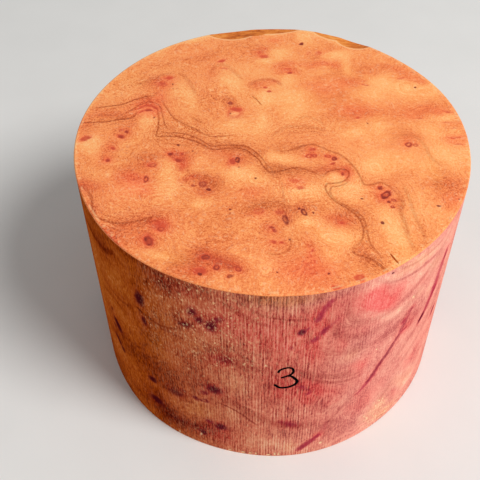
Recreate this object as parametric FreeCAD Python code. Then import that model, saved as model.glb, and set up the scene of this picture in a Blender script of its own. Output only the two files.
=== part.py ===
import FreeCAD
import Part
import math
import os

# Wood turning blank: one round of burl wood, sawn flat above and below and cut round by hand.
# Millimetres, +Z up, origin at the centre of the lower sawn face.
# Azimuths are degrees, counter-clockwise from +X as seen from above.

# Stock
blank_diameter = 152.0
blank_height = 110.0

# Edges eased after sawing
top_arris = 0.5
bottom_arris = 0.5

# How far the hand-fed cut wanders off the true circle. Each wave goes round the rim a whole
# number of times, swings this far each way, and has a crest at this azimuth.
saw_waves = [
    {"rounds": 2, "swing": 0.20, "crest": -37.0},
    {"rounds": 3, "swing": 0.25, "crest": 28.0},
    {"rounds": 5, "swing": 0.16, "crest": 9.0},
    {"rounds": 7, "swing": 0.16, "crest": 23.0},
]
points_per_wave = 10

# Wane: two places on the rim where the skin of the burl dips under the sawn top.
# Each dip is a deep hollow that runs out along the rim in a longer, shallower one.
# reach is measured in from the rim, drop is down from the top at the rim,
# and half_span is the angle to either end.
wane_hollows = [
    {"azimuth": 103.0, "half_span": 9.6, "reach": 7.2, "drop": 0.8},
    {"azimuth": 92.5, "half_span": 12.0, "reach": 4.9, "drop": 0.6},
    {"azimuth": 62.5, "half_span": 6.8, "reach": 6.0, "drop": 0.9},
    {"azimuth": 69.5, "half_span": 7.5, "reach": 3.9, "drop": 0.6},
]

# Drying check: a short split in the top, near the rim. It is placed by its middle,
# and its heading is the azimuth that its length points along.
check_from_axis = 72.6
check_azimuth = -54.3
check_heading = -60.0
check_length = 6.0
check_width = 0.6
check_depth = 1.5
check_root_length = 4.0
check_root_width = 0.2

# An edge counts as level when its two ends differ by less than this
level_tolerance = 1e-6


def polar(radius, azimuth, height=0.0):
    angle = math.radians(azimuth)
    return FreeCAD.Vector(radius * math.cos(angle), radius * math.sin(angle), height)


def sawn_radius(azimuth):
    """The radius that the hand-fed cut leaves at this azimuth."""
    radius = blank_diameter / 2
    for wave in saw_waves:
        turn = wave["rounds"] * (azimuth - wave["crest"])
        radius += wave["swing"] * math.cos(math.radians(turn))
    return radius


def sawn_outline():
    """One closed smooth curve through as many points as the shortest wave needs."""
    count = points_per_wave * max(wave["rounds"] for wave in saw_waves)
    step = 360.0 / count
    points = [polar(sawn_radius(i * step), i * step) for i in range(count)]
    curve = Part.BSplineCurve()
    curve.interpolate(Points=points, PeriodicFlag=True)
    return Part.Wire(curve.toShape())


def level_edges(solid, height):
    """The edges that lie flat at this height."""
    return [
        edge
        for edge in solid.Edges
        if edge.BoundBox.ZLength < level_tolerance
        and abs(edge.BoundBox.ZMin - height) < level_tolerance
    ]


def sawn_round():
    """The round itself, with both sawn edges eased."""
    stock = Part.Face(sawn_outline()).extrude(FreeCAD.Vector(0, 0, blank_height))
    for height, arris in ((blank_height, top_arris), (0.0, bottom_arris)):
        stock = stock.makeChamfer(arris, level_edges(stock, height))
    return stock


def wane_cutter(azimuth, half_span, reach, drop):
    """A large ball whose lower side is the hollow.

    On the top face it leaves an arc from rim to rim that comes in by reach,
    and out at the rim it is lower than the top by drop.
    """
    rim = sawn_radius(azimuth)
    inner = rim - reach
    chord_foot = rim * math.cos(math.radians(half_span))
    arc_centre = (inner**2 - rim**2) / (2 * (inner - chord_foot))
    arc_radius = arc_centre - inner
    beyond_rim = arc_centre - rim
    lift = (arc_radius**2 - beyond_rim**2 - drop**2) / (2 * drop)
    ball_radius = math.hypot(arc_radius, lift)
    return Part.makeSphere(ball_radius, polar(arc_centre, azimuth, blank_height + lift))


def leaf_outline(length, width, height):
    """Two arcs that meet in a point at both ends of the check, at this height."""
    middle = polar(check_from_axis, check_azimuth, height)
    along = polar(length / 2, check_heading)
    across = polar(width / 2, check_heading + 90.0)
    tip, tail = middle + along, middle - along
    near_side = Part.Arc(tail, middle + across, tip).toShape()
    far_side = Part.Arc(tip, middle - across, tail).toShape()
    return Part.Wire([near_side, far_side])


def check_cutter():
    """The split, open at the top face and closing as it goes down."""
    mouth = leaf_outline(check_length, check_width, blank_height)
    root = leaf_outline(check_root_length, check_root_width, blank_height - check_depth)
    return Part.makeLoft([mouth, root], True, True)


def turning_blank():
    blank = sawn_round()
    cutters = [wane_cutter(**hollow) for hollow in wane_hollows]
    cutters.append(check_cutter())
    return blank.cut(cutters)


def main():
    os.makedirs("parts", exist_ok=True)
    blank = turning_blank()
    blank.exportStep("parts/turning_blank.step")
    print(f"turning_blank: {len(blank.Solids)} solid, {len(blank.Faces)} faces, valid {blank.isValid()}")


main()
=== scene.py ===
import math

import bpy
import numpy as np
from mathutils import Matrix, Vector
from mathutils.bvhtree import BVHTree
from mathutils.geometry import delaunay_2d_cdt


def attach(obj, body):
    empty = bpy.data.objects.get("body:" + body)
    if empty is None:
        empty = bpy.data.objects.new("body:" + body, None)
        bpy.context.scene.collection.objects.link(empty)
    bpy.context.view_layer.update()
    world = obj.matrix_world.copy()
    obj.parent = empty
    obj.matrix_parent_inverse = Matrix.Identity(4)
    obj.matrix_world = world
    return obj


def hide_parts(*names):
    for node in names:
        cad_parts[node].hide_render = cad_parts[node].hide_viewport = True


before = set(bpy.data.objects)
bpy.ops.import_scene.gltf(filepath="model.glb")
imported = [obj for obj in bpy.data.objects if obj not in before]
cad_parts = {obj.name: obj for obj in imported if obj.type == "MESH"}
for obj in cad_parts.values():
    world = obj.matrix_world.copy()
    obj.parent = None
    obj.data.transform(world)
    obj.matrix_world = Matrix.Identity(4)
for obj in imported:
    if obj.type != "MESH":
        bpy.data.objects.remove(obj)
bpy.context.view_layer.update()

# The burl blank: a round of figured wood on its lower sawn face.
# Lengths in the tables are millimetres and angles are degrees. x and y are the frame's own axes,
# an azimuth is counter-clockwise from +x, and "turn" tilts a mark counter-clockwise.

NODE = "turning_blank"
MM = 0.001

# Seeds: one for the whole blank, and those that the fields of each surface, the ridges of the saw
# lines and the frayed edges of the streaks add to it
SEED = 7
TOP_SEED = 100
WALL_SEED = 200
BASE_SEED = 300
RIDGE_SEED = 260
FRAY_SEED = 270

# Edge of the wood, measured on the frame's node: how many waves describe it, how near to the widest
# place its points lie, and how far inside the wood the mesh keeps
HARMONICS = 8
WALL_BAND = 2.0
INSIDE = 0.03

# Arris: how wide it is, how far in the ring that rounds it lies, as a part of that, and how wide
# the painted highlight beside it is
ARRIS = 0.5
ARRIS_ROUND = 0.29
GLINT_WIDTH = 0.9

# Azimuth of the seam where the unrolled wall is joined
SEAM = 90.0

# The ray that finds the top at one point: how far above the block it starts, and how long it is
RAY_START = 5.0
RAY_LENGTH = 12.0

# Wane: the part of the top where it may dip, and the depths between which a dip begins to show
# its amber skin and shows it all
WANE_INSIDE = 66.0
WANE_FROM = 53.0
WANE_TO = 115.0
WANE_DEPTHS = (0.01, 0.07)

# Where the top dips, the wall's upper edge goes down with it. The dip is measured this far inside
# the arris, the edge keeps this much below it, and the wall is drawn down over this height.
DIP_INSET = 0.1
DIP_SLACK = 0.03
DIP_FADE = 8.0

# Drying check: its two ends, the rows of points that draw its sides, the points in a row, how far
# the rows run, in half lengths, and how near they draw together at its ends
CHECK = [(40.87, -56.36), (43.87, -61.56)]
CHECK_ROWS = (-0.55, -0.36, -0.27, -0.16, 0, 0.16, 0.27, 0.36, 0.55)
CHECK_POINTS = 34
CHECK_REACH = 1.1
CHECK_TIP = 0.25

# Azimuths between which the saw lines stand out, and between which the chips are
SAW_FROM = -126.0
SAW_TO = -72.0
CHIPS_FROM = -122.0
CHIPS_TO = -40.0

# Mesh: how far apart the points are, closer at the eyes and chips and where the saw lines stand out
TOP_STEP = 1.15
TOP_FINE_STEP = 0.42
WALL_STEP = 1.6
WALL_FINE_STEP = 0.55
CHIP_STEP = 0.35
SAW_COLUMN = 0.42
PLAIN_COLUMN = 0.95
WALL_ROW = 1.7
BASE_STEP = 2.4

# How far apart the points along a line or pen stroke are, and how far beside it each row of them is
TOP_LINE_STEP = 0.5
TOP_LINE_ROWS = (0, -0.45, 0.45, -0.95, 0.95)
WALL_LINE_STEP = 0.7
WALL_LINE_ROWS = (0, -0.8, 0.8, -1.7, 1.7)
PEN_STEP = 0.22
PEN_ROWS = (0, -0.25, 0.25, -0.5, 0.5, -0.75, 0.75, -1.1, 1.1)

# How far past the edge of an eye or chip the close points go
TOP_EYE_MARGIN = 0.7
WALL_EYE_MARGIN = 0.8
CHIP_MARGIN = 0.3

# The least gap from a point of each kind to those placed before it, and for the lattices that fill
# the rest, that gap as a part of their step
GAPS = {
    "check": 0.06, "top line": 0.3, "top eye": 0.3,
    "pen": 0.2, "chip": 0.25, "wall line": 0.5, "wall eye": 0.42, "saw": 0.4,
}
FILL_GAP = 0.62

# The least gap from the points inside a sheet to its edge
TOP_EDGE_GAP = 0.25
TOP_FINE_EDGE_GAP = 0.4
TOP_FILL_EDGE_GAP = 0.6
BASE_EDGE_GAP = 1.0
WALL_EDGE_GAP = 0.35
SEAM_GAP = 0.5

# Marks that are nearer to the seam than this are repeated on its other side
SEAM_MARGIN = 20.0

# Nothing that a line does to the wood reaches further than LINE_REACH, and points beyond it count as
# OUT_OF_REACH. A field of distances has FAR where it isn't measured.
LINE_REACH = 6.0
OUT_OF_REACH = 1e9
FAR = 9.0

# Growth lines fade in and out at this rate along their length, from this much of their darkness.
# Beside each is a soft shade this wide.
LINE_FADE = 6.0
LINE_END = 0.25
LINE_SHADE = 1.8

# Eyes, as parts of their own size: where their dark and rose begin to fade, how much further out in
# a hollow one, where each ends, between which distances the open middle of a hollow one closes, and
# how open it is. WALL_SOFT widens the fade on the wall.
EYE_CORE = 0.42
EYE_CORE_HOLLOW = 0.3
EYE_DARK_END = 1.3
EYE_ROSE_END = 1.55
EYE_OPENING = (0.25, 0.75)
EYE_OPENNESS = 0.85
WALL_SOFT = 0.3

# Round an eye: the millimetres over which its glow fades, and the painted sheen at its lower side,
# how far from its middle and between which distances it grows, as parts of the eye's size
GLOW_REACH = 0.9
SHEEN_BELOW = 1.6
SHEEN_BETWEEN = (0.8, 1.4)

# What the soft shade of a line and the painted sheen below an eye do to the tone, what the glow does
# to the blush, the tone that pale wood doesn't pass, and how far the wood near a line is browner
SHADE_TONE = 0.25
SHEEN_TONE = 0.45
GLOW_BLUSH = 0.55
PALEST = 0.75
NEAR_REACH = 3.2

# Growth rings are the level lines of a field: how much tone, glow and the distance to the growth
# lines count in it, and the height and size of its wide and its narrow hills
RING_TONE = 0.9
RING_GLOW = 0.7
RING_LINE = 0.25
RING_WIDE = (1.2, 19.0)
RING_NARROW = (0.15, 5.0)

# Streaks of the wall: how wide they are at their ends as a part of their width, the height and size
# of the hills that fray them, between which half widths they fade, and their own glow
STREAK_END = 0.55
STREAK_FRAY = (0.3, 1.6)
STREAK_BETWEEN = (0.4, 1.5)
STREAK_BLUSH = 0.4
STREAK_REACH = 2.4

# How deep each thing is sunk into the wood where it is strongest
TOP_EYE_DEPTH = 0.16
TOP_ROSE_DEPTH = 0.04
WALL_EYE_DEPTH = 0.22
CHIP_DEPTH = 0.3
SAW_DEPTH = 0.12

# Saw lines: how far apart they are, how wide the ridges of their relief are, and how many times as
# long, and the heights between which the torn fibres grow to their full number
SAW_PITCH = 1.15
SAW_RIDGE = 0.95
SAW_STRETCH = 40.0
TORN_ABOVE = (40, 75)

# How strong the grain of the top is where COARSE adds nothing
GRAIN = 1.12

# Smooth noise comes from a table this many cells each way. Layers of it push the patches about, make
# the outlines of eyes ragged, mottle the wood and vary its blush: height, size of the hills, and
# what is added to the surface's seed.
NOISE_CELLS = 256
BEND = [(1.2, 7.0, 0), (0.5, 2.6, 2)]
RUFFLE = [(0.3, 1.5, 0), (0.12, 0.8, 0)]
MOTTLE = [(0.16, 9.0, 6), (0.10, 3.6, 7)]
BLUSH_DRIFT = [(0.12, 11.0, 8)]

# Marks of the sides that the photograph doesn't show: seed, how many patches, and from where to
# where, by azimuth and height or by x and y. The last number keeps those of the base on its round.
UNSEEN_WALL = [(1, 90, (-268, -166), (6, 104)), (2, 90, (-12, 88), (6, 104))]
UNSEEN_BASE = (3, 220, (-70, 70), (-70, 70), 70)

# What each of those marks is drawn from. The dark patches are red and hold one to three eyes, and
# the pale ones are golden.
UNSEEN_TONES = [-0.6, -0.4, 0.25, 0.4]
UNSEEN = {
    "size": (3, 7), "stretch": (1, 2), "turn": (-60, 60), "red": (0.2, 0.8), "gold": (-0.6, 0),
    "shift": (-3, 3), "eye length": (0.7, 2.0), "eye width": (0.6, 1.3),
    "dark": (0.2, 0.8), "rose": (0.3, 0.9),
}

# Skin of the burl that shows flush with the sawn top, between two dips: x, y, half length,
# half width, turn. LIP is how wide the painted highlight beside the wane is.
WANE_SKIN = [(-8.5, 71.6, 6, 2.4, 5)]
LIP = 0.8

# How strong the painted highlight along the arris is on the way round: azimuth and amount
RIM_GLINT = [(-160, .3), (-135, .05), (-30, .1), (20, .3), (50, .7), (150, .9), (190, .7)]

# Where more pale flecks of torn wood show on the wall: azimuth, height, half length, half width,
# turn, amount
FLECKED = [
    (-52, 11, 6, 10, 0, 1.7), (-44, 5, 8, 5, 0, .6), (-124.5, 74, 4, 16, 0, .6), (-118, 96, 8, 9, 0, .2),
]

# Where the grain of the top shows strongly or faintly: x, y, half length, half width, turn, amount
COARSE = [
    (-58, 33, 14, 7, 40, .5), (-22, 25, 10, 9, 0, .4), (-32, 4, 16, 5, -10, .5), (10, 9, 12, 6, 0, .5),
    (32, 32, 34, 24, 0, -.4), (48, -6, 18, 12, 0, -.3), (-50, -43, 14, 6, 10, .5), (-15, -50, 16, 6, 0, .3),
    (10, -28, 10, 8, 0, .3), (36, -60, 8, 5, -35, .3), (-26, -22, 8, 5, -20, .3), (5, -38, 14, 5, 0, .3),
    (-50, -8, 10, 8, 0, .2), (10, 66, 16, 6, 0, -.2),
]

# Soft patches of the top: x, y, half length, half width, turn, tone (dark below 0, pale above),
# blush (yellow below 0, red above). Dark patches that lie above pale ones are partly painted chatoyant shade.
TOP_PATCHES = [
    (-47, 35, 5, 4, 30, -.6, .5), (-50, 22, 5.5, 4, 20, -.6, .6), (-66, 15, 8, 3, 5, -.35, .35),
    (-62, 13, 9, 2.5, 5, -.5, .1), (-57, 4.5, 5.5, 3, 60, -.55, .3), (-62, -5, 3.5, 2.5, 70, -.45, .3),
    (-62.5, -12, 3, 3, 0, -.35, .45), (-74, 7, 3, 4, 0, -.5, .35), (-38, 3, 8, 3.5, -10, -.5, 0),
    (-28, -2, 7, 2.5, -25, -.45, .1), (-15, -4.2, 8, 2.6, -8, -.8, .15), (-6, -9, 4.5, 2.8, -55, -.5, .1),
    (-37, -8.5, 4, 3, -20, -.75, .6), (-33, -12.5, 4, 3, -65, -.7, .9), (-46, -11, 4.5, 3, 20, -.5, .1),
    (-44.5, -15.3, 3, 2.5, 0, -.5, .6), (-53, -18, 8, 4, 55, -.5, .3), (-50, -22, 4, 2.5, 0, -.5, .6),
    (-12.8, -11.7, 2.4, 2.6, 0, -.8, .3), (-30.5, -22, 3, 1.5, 22, -.8, .9),
    (-24.5, -21.2, 4.5, 2, -5, -1, .3), (-19.5, -24.2, 2.5, 3, -40, -.7, .1),
    (-23.2, -25, 3.8, 3, -30, -.8, .2), (-24, -29.5, 3.5, 2, 0, -.3, .4), (-68.5, -27.5, 6, 3, -10, -1, .7),
    (-62.5, -38, 4, 2.5, -65, -.6, .3), (-46, -44, 9, 4, 12, -.6, .4), (-38, -46.5, 3.4, 3.2, 0, -.7, 1),
    (-42, -53, 4, 3.5, 0, -.8, .5), (-50, -50, 5, 5, 0, -.4, .3), (-55, -53, 9, 2.5, -49, -.7, .9),
    (-22, -58.5, 4.4, 3.4, 0, -1.3, .45), (-24, -65, 5, 4.5, -60, -.9, .6),
    (-30, -65.5, 5, 3.5, -65, -.8, .3), (-17, -61.5, 3.5, 3.4, 0, -1, .45),
    (-11.5, -63.5, 4.4, 2.8, -10, -1, .45), (-4, -36, 6.5, 3, 8, -1.1, 0), (6, -35.5, 6, 2.2, -5, -.75, .1),
    (5.5, -40.5, 3.5, 2.8, -60, -.7, .3), (12.5, -36.5, 4, 2.4, -10, -.7, .25),
    (.7, -46.6, 2.6, 2.2, -30, -.6, .4), (24.5, -41.5, 4.5, 2.6, -5, -.7, .6),
    (28, -37.5, 5, 4, -50, -.6, .2), (4.5, -16.5, 7, 2.2, 6, -1.1, .05), (15, -16.8, 6, 2, -10, -.55, .05),
    (10, -19, 9, 2.5, 0, -.3, .05), (23, -15.5, 5, 1.8, 0, -.5, .3), (28.3, -17, 2.2, 2.6, 0, -.45, 1.1),
    (23.5, -9.5, 2.6, 2.6, 0, -.4, .5), (15.2, -7, 2.5, 3.5, 0, -.35, .5), (8, -5, 8, 2.4, 3, -.35, 0),
    (40.5, -30.5, 5.5, 3, -65, -.6, .8), (46.5, -33, 4, 3, -70, -.5, .2), (46, -26, 5, 1.5, -50, -.3, .1),
    (32.5, -55.5, 5, 3, 105, -.8, .15), (36, -61.5, 6, 3, -40, -.5, .1), (62, -22, 5.5, 2.3, 10, -.4, .2),
    (68, -24, 5.5, 4, 10, -.5, .2), (66, -31.5, 5, 4, 30, -.1, .4), (13, -65, 9, 7, 0, -.25, .85),
    (13.5, -54, 6, 2, 90, -.15, .35), (4, -54, 4, 3, 0, -.25, .2), (-28, 54.5, 6, 2.4, 25, -.55, 0),
    (-36, 57, 8, 3.5, 12, .1, .1), (-17, 62, 9, 2.2, 3, -.4, -.05), (-6, 57, 4, 3, 70, -.45, .4),
    (4.5, 46.5, 4.5, 3.5, -20, -.45, .45), (9, 49.5, 7, 1.8, 0, -.15, .35),
    (-5, 36.5, 5.5, 2.6, 15, -.4, .35), (-18, 23, 3.5, 2.5, -30, -.6, 0), (-14.5, 18.7, 3, 1.8, -10, -.5, .6),
    (-26, 26, 5, 6, 0, -.2, .05), (-25, 17, 5, 5, 0, -.2, 0), (42, 48, 6, 3.2, 0, -.3, .25),
    (53, 46, 6, 2.2, -20, -.25, .45), (33.5, 38, 4.5, 3, 20, -.35, .35), (24, 50.5, 5.5, 2.4, 0, -.1, .4),
    (19, 33, 7, 6, 0, -.05, .6), (29, 36, 4, 5, 0, -.05, .4), (32, 17.5, 6, 3.4, 0, -.25, .35),
    (35, 19, 8, 4, 0, -.15, .4), (57, 17.5, 7, 3.4, 8, -.3, .4), (65, 22, 6, 3.4, 10, -.3, .05),
    (58, 21, 10, 3, 0, -.1, .2), (53, 2.5, 5, 4, 0, -.5, .35), (12, 6, 8, 1.8, 3, -.35, -.05),
    (59.5, 39.5, 5, 2.4, -20, -.1, .45), (71, 11.5, 4, 1.8, 0, -.25, .3), (71, 2, 4, 2.6, 0, -.2, .6),
    (-69, -5, 4.5, 3.5, 70, .75, -.3), (-49.5, 11, 3, 5, 0, .75, -.2), (-35, 28, 9, 3, -70, .45, -.4),
    (-16.5, 36, 6.5, 2.8, -65, .65, -.5), (-2.5, 25, 3.5, 4.5, 0, .8, -.8), (8, 27, 6.5, 6, 0, .65, -.6),
    (5.5, 37.5, 3, 4, 0, .5, -.4), (10, 17, 5, 5, 0, .45, -.5), (-4, 12, 2.5, 6, -10, .55, -.5),
    (3.5, 56, 4, 3.6, 0, .7, -.7), (-3, 51, 4, 1.8, 0, .6, -.6), (28, 56, 5, 3.2, 0, .7, -.6),
    (31.5, 47, 1.8, 5, 0, .6, -.5), (14, 70, 3.5, 5, 0, .8, -.7), (-34, 68, 6, 3, 30, .8, -.5),
    (-48, 58, 10, 2.5, 45, .35, -.3), (45.5, 36.5, 6, 5, 0, .8, -.8), (56, 33, 5.5, 4, 0, .75, -.8),
    (66, 35, 4, 5, 0, .55, -.6), (41, 29, 5, 3, 0, .45, -.5), (-12, 7, 9, 3.6, -5, .45, -.4),
    (-11, -19, 5, 3, 10, .7, -.5), (-4.5, -21, 2.5, 3, 0, .45, -.4), (-26, -12, 3, 3, 0, .2, .1),
    (-38, -16.5, 5, 3, 75, .5, -.2), (-52, -30, 5, 5, 0, .45, .2), (-37, -28, 7, 3.5, 80, .45, -.1),
    (-25, -34, 5, 3, 0, .6, -.5), (3, -10.5, 5, 2.4, 0, .7, -.4), (11, -12, 5, 2, 0, .3, -.3),
    (23.7, -20.5, 2.6, 2, 10, .8, -.4), (29, -25, 4, 6, 0, .6, -.5), (14, -28, 6, 3, 0, .6, -.6),
    (40, -13, 5, 4, 0, .75, -.8), (42, -6, 6, 2.5, -5, .3, -.3), (50, -10, 6, 5, 0, .3, -.3),
    (68, -6, 6.5, 5.5, 0, .75, -.7), (58, -14, 3, 3, 0, .35, -.2), (43.5, -47, 11, 3, -77, .75, -.8),
    (24, -49, 7, 3, -5, .75, -.7), (14, -43.5, 4, 2.5, 0, .5, -.4), (-4.5, -40.5, 4, 2, 0, -.3, .4),
    (-30, -49, 5, 3.5, 0, .2, 0), (-36, -61, 7, 2.2, -30, .5, -.2), (21, -57, 3, 4, 0, .35, -.3),
    (33, 5, 4, 3, 0, .45, -.5), (42, 9, 5, 4, 0, .5, -.4), (62, 8, 5, 5, 0, .5, -.4),
    (56, -36, 9, 9, 0, .25, -.2), (-63, 36, 7, 6, 50, .15, -.4), (-15, 15.3, 1.8, 1.8, 0, .5, .1),
    (69, 15.5, 5, 2, 10, .5, -.4), (0, -67, 3, 7, 0, .3, -.1), (-8, 44, 9, 6, 0, .3, -.15),
    (-49, -26, 6, 4, 0, .05, .45), (-45, -29, 5, 3, 0, .15, .45), (45, -4, 8, 3.5, 0, -.15, .35),
    (-24, 43, 4, 5, 0, -.35, .3), (-28, 52.5, 3, 3.5, 30, -.3, .1), (-45, 47.5, 6, 2.4, 25, -.4, 0),
    (-47.5, 17, 4, 4, 0, -.15, .7), (-45, 27, 3, 4, 0, -.1, .5), (-42, -1.5, 5, 2, 0, -.3, 0),
    (-18, -8.5, 6, 2.4, -10, -.4, .4), (-14.5, -14.5, 2.5, 2, 0, -.3, .5), (-19.5, -21, 2.5, 2.5, 0, -.4, .2),
    (21, -17, 3.5, 1.8, 10, -.35, .4), (29.5, -21, 1.8, 3, 0, -.1, .7), (10, -25, 4, 3, 0, -.2, .6),
    (8, -18, 6, 1.6, 0, -.3, -.1), (-12.5, -43.5, 4, 2.4, 20, -.4, .1), (-7, -29, 4, 3, 0, -.1, .5),
    (-17, -52, 7, 2.2, 0, -.4, .1), (-33, -61, 6, 3, 0, 0, -.6), (-14, -65.5, 4, 2, 0, -.4, .2),
    (-64, -6, 2.2, 5, 0, -.25, .1), (-60, -21, 4, 2.5, 0, .3, 0), (24, 14, 3, 3.5, 0, -.25, .1),
    (15, 30, 4, 4, 0, -.1, -.2), (-6, 33, 2.6, 4, 0, -.3, .2), (42, 43.5, 6, 2, -5, -.2, .4),
    (62, 39, 2, 2.4, 0, -.15, .3), (67, 18, 3, 1.5, 0, -.3, .4), (70, -4, 3, 5, 0, -.15, .4),
    (61, -17, 2.2, 8, 10, -.1, -.5), (64, -30, 5, 7, 30, -.15, .2), (24, 58, 3, 2.4, 0, -.25, .4),
    (27.5, 48, 3, 2, 0, -.25, .5), (17, 48, 3, 3, 0, -.1, .4), (1, 67, 3, 2, 0, -.15, .5),
    (6, 43.5, 5, 1.6, 0, -.25, .5), (2, 36.5, 4, 1.6, -20, -.2, .5), (8, 20, 2, 4, 0, -.15, 0),
    (43, 22, 4, 2.5, 0, .2, 0), (46, 7, 2, 4, 0, -.2, .1), (72, 7, 2, 4, 0, .3, -.2),
    (71, 15, 2, 2.5, 0, .3, -.2), (26, 69, 8, 2.6, -35, .9, -.8), (36, 62.5, 3, 1.5, -30, -.4, -.2),
    (-24, 69.5, 4, 1.8, 20, .6, -.2), (-14, 70, 5, 1.8, 5, -.4, .3), (-40, -38, 24, 18, 0, -.12, .1),
    (42.9, -58.4, 1.3, .5, -60, 1.2, -.3), (-18, -48, 14, 5, 0, -.12, 0), (50, -2, 12, 8, 0, .2, -.1),
    (-25, 33, 8, 6, 0, .1, 0),
]

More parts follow.
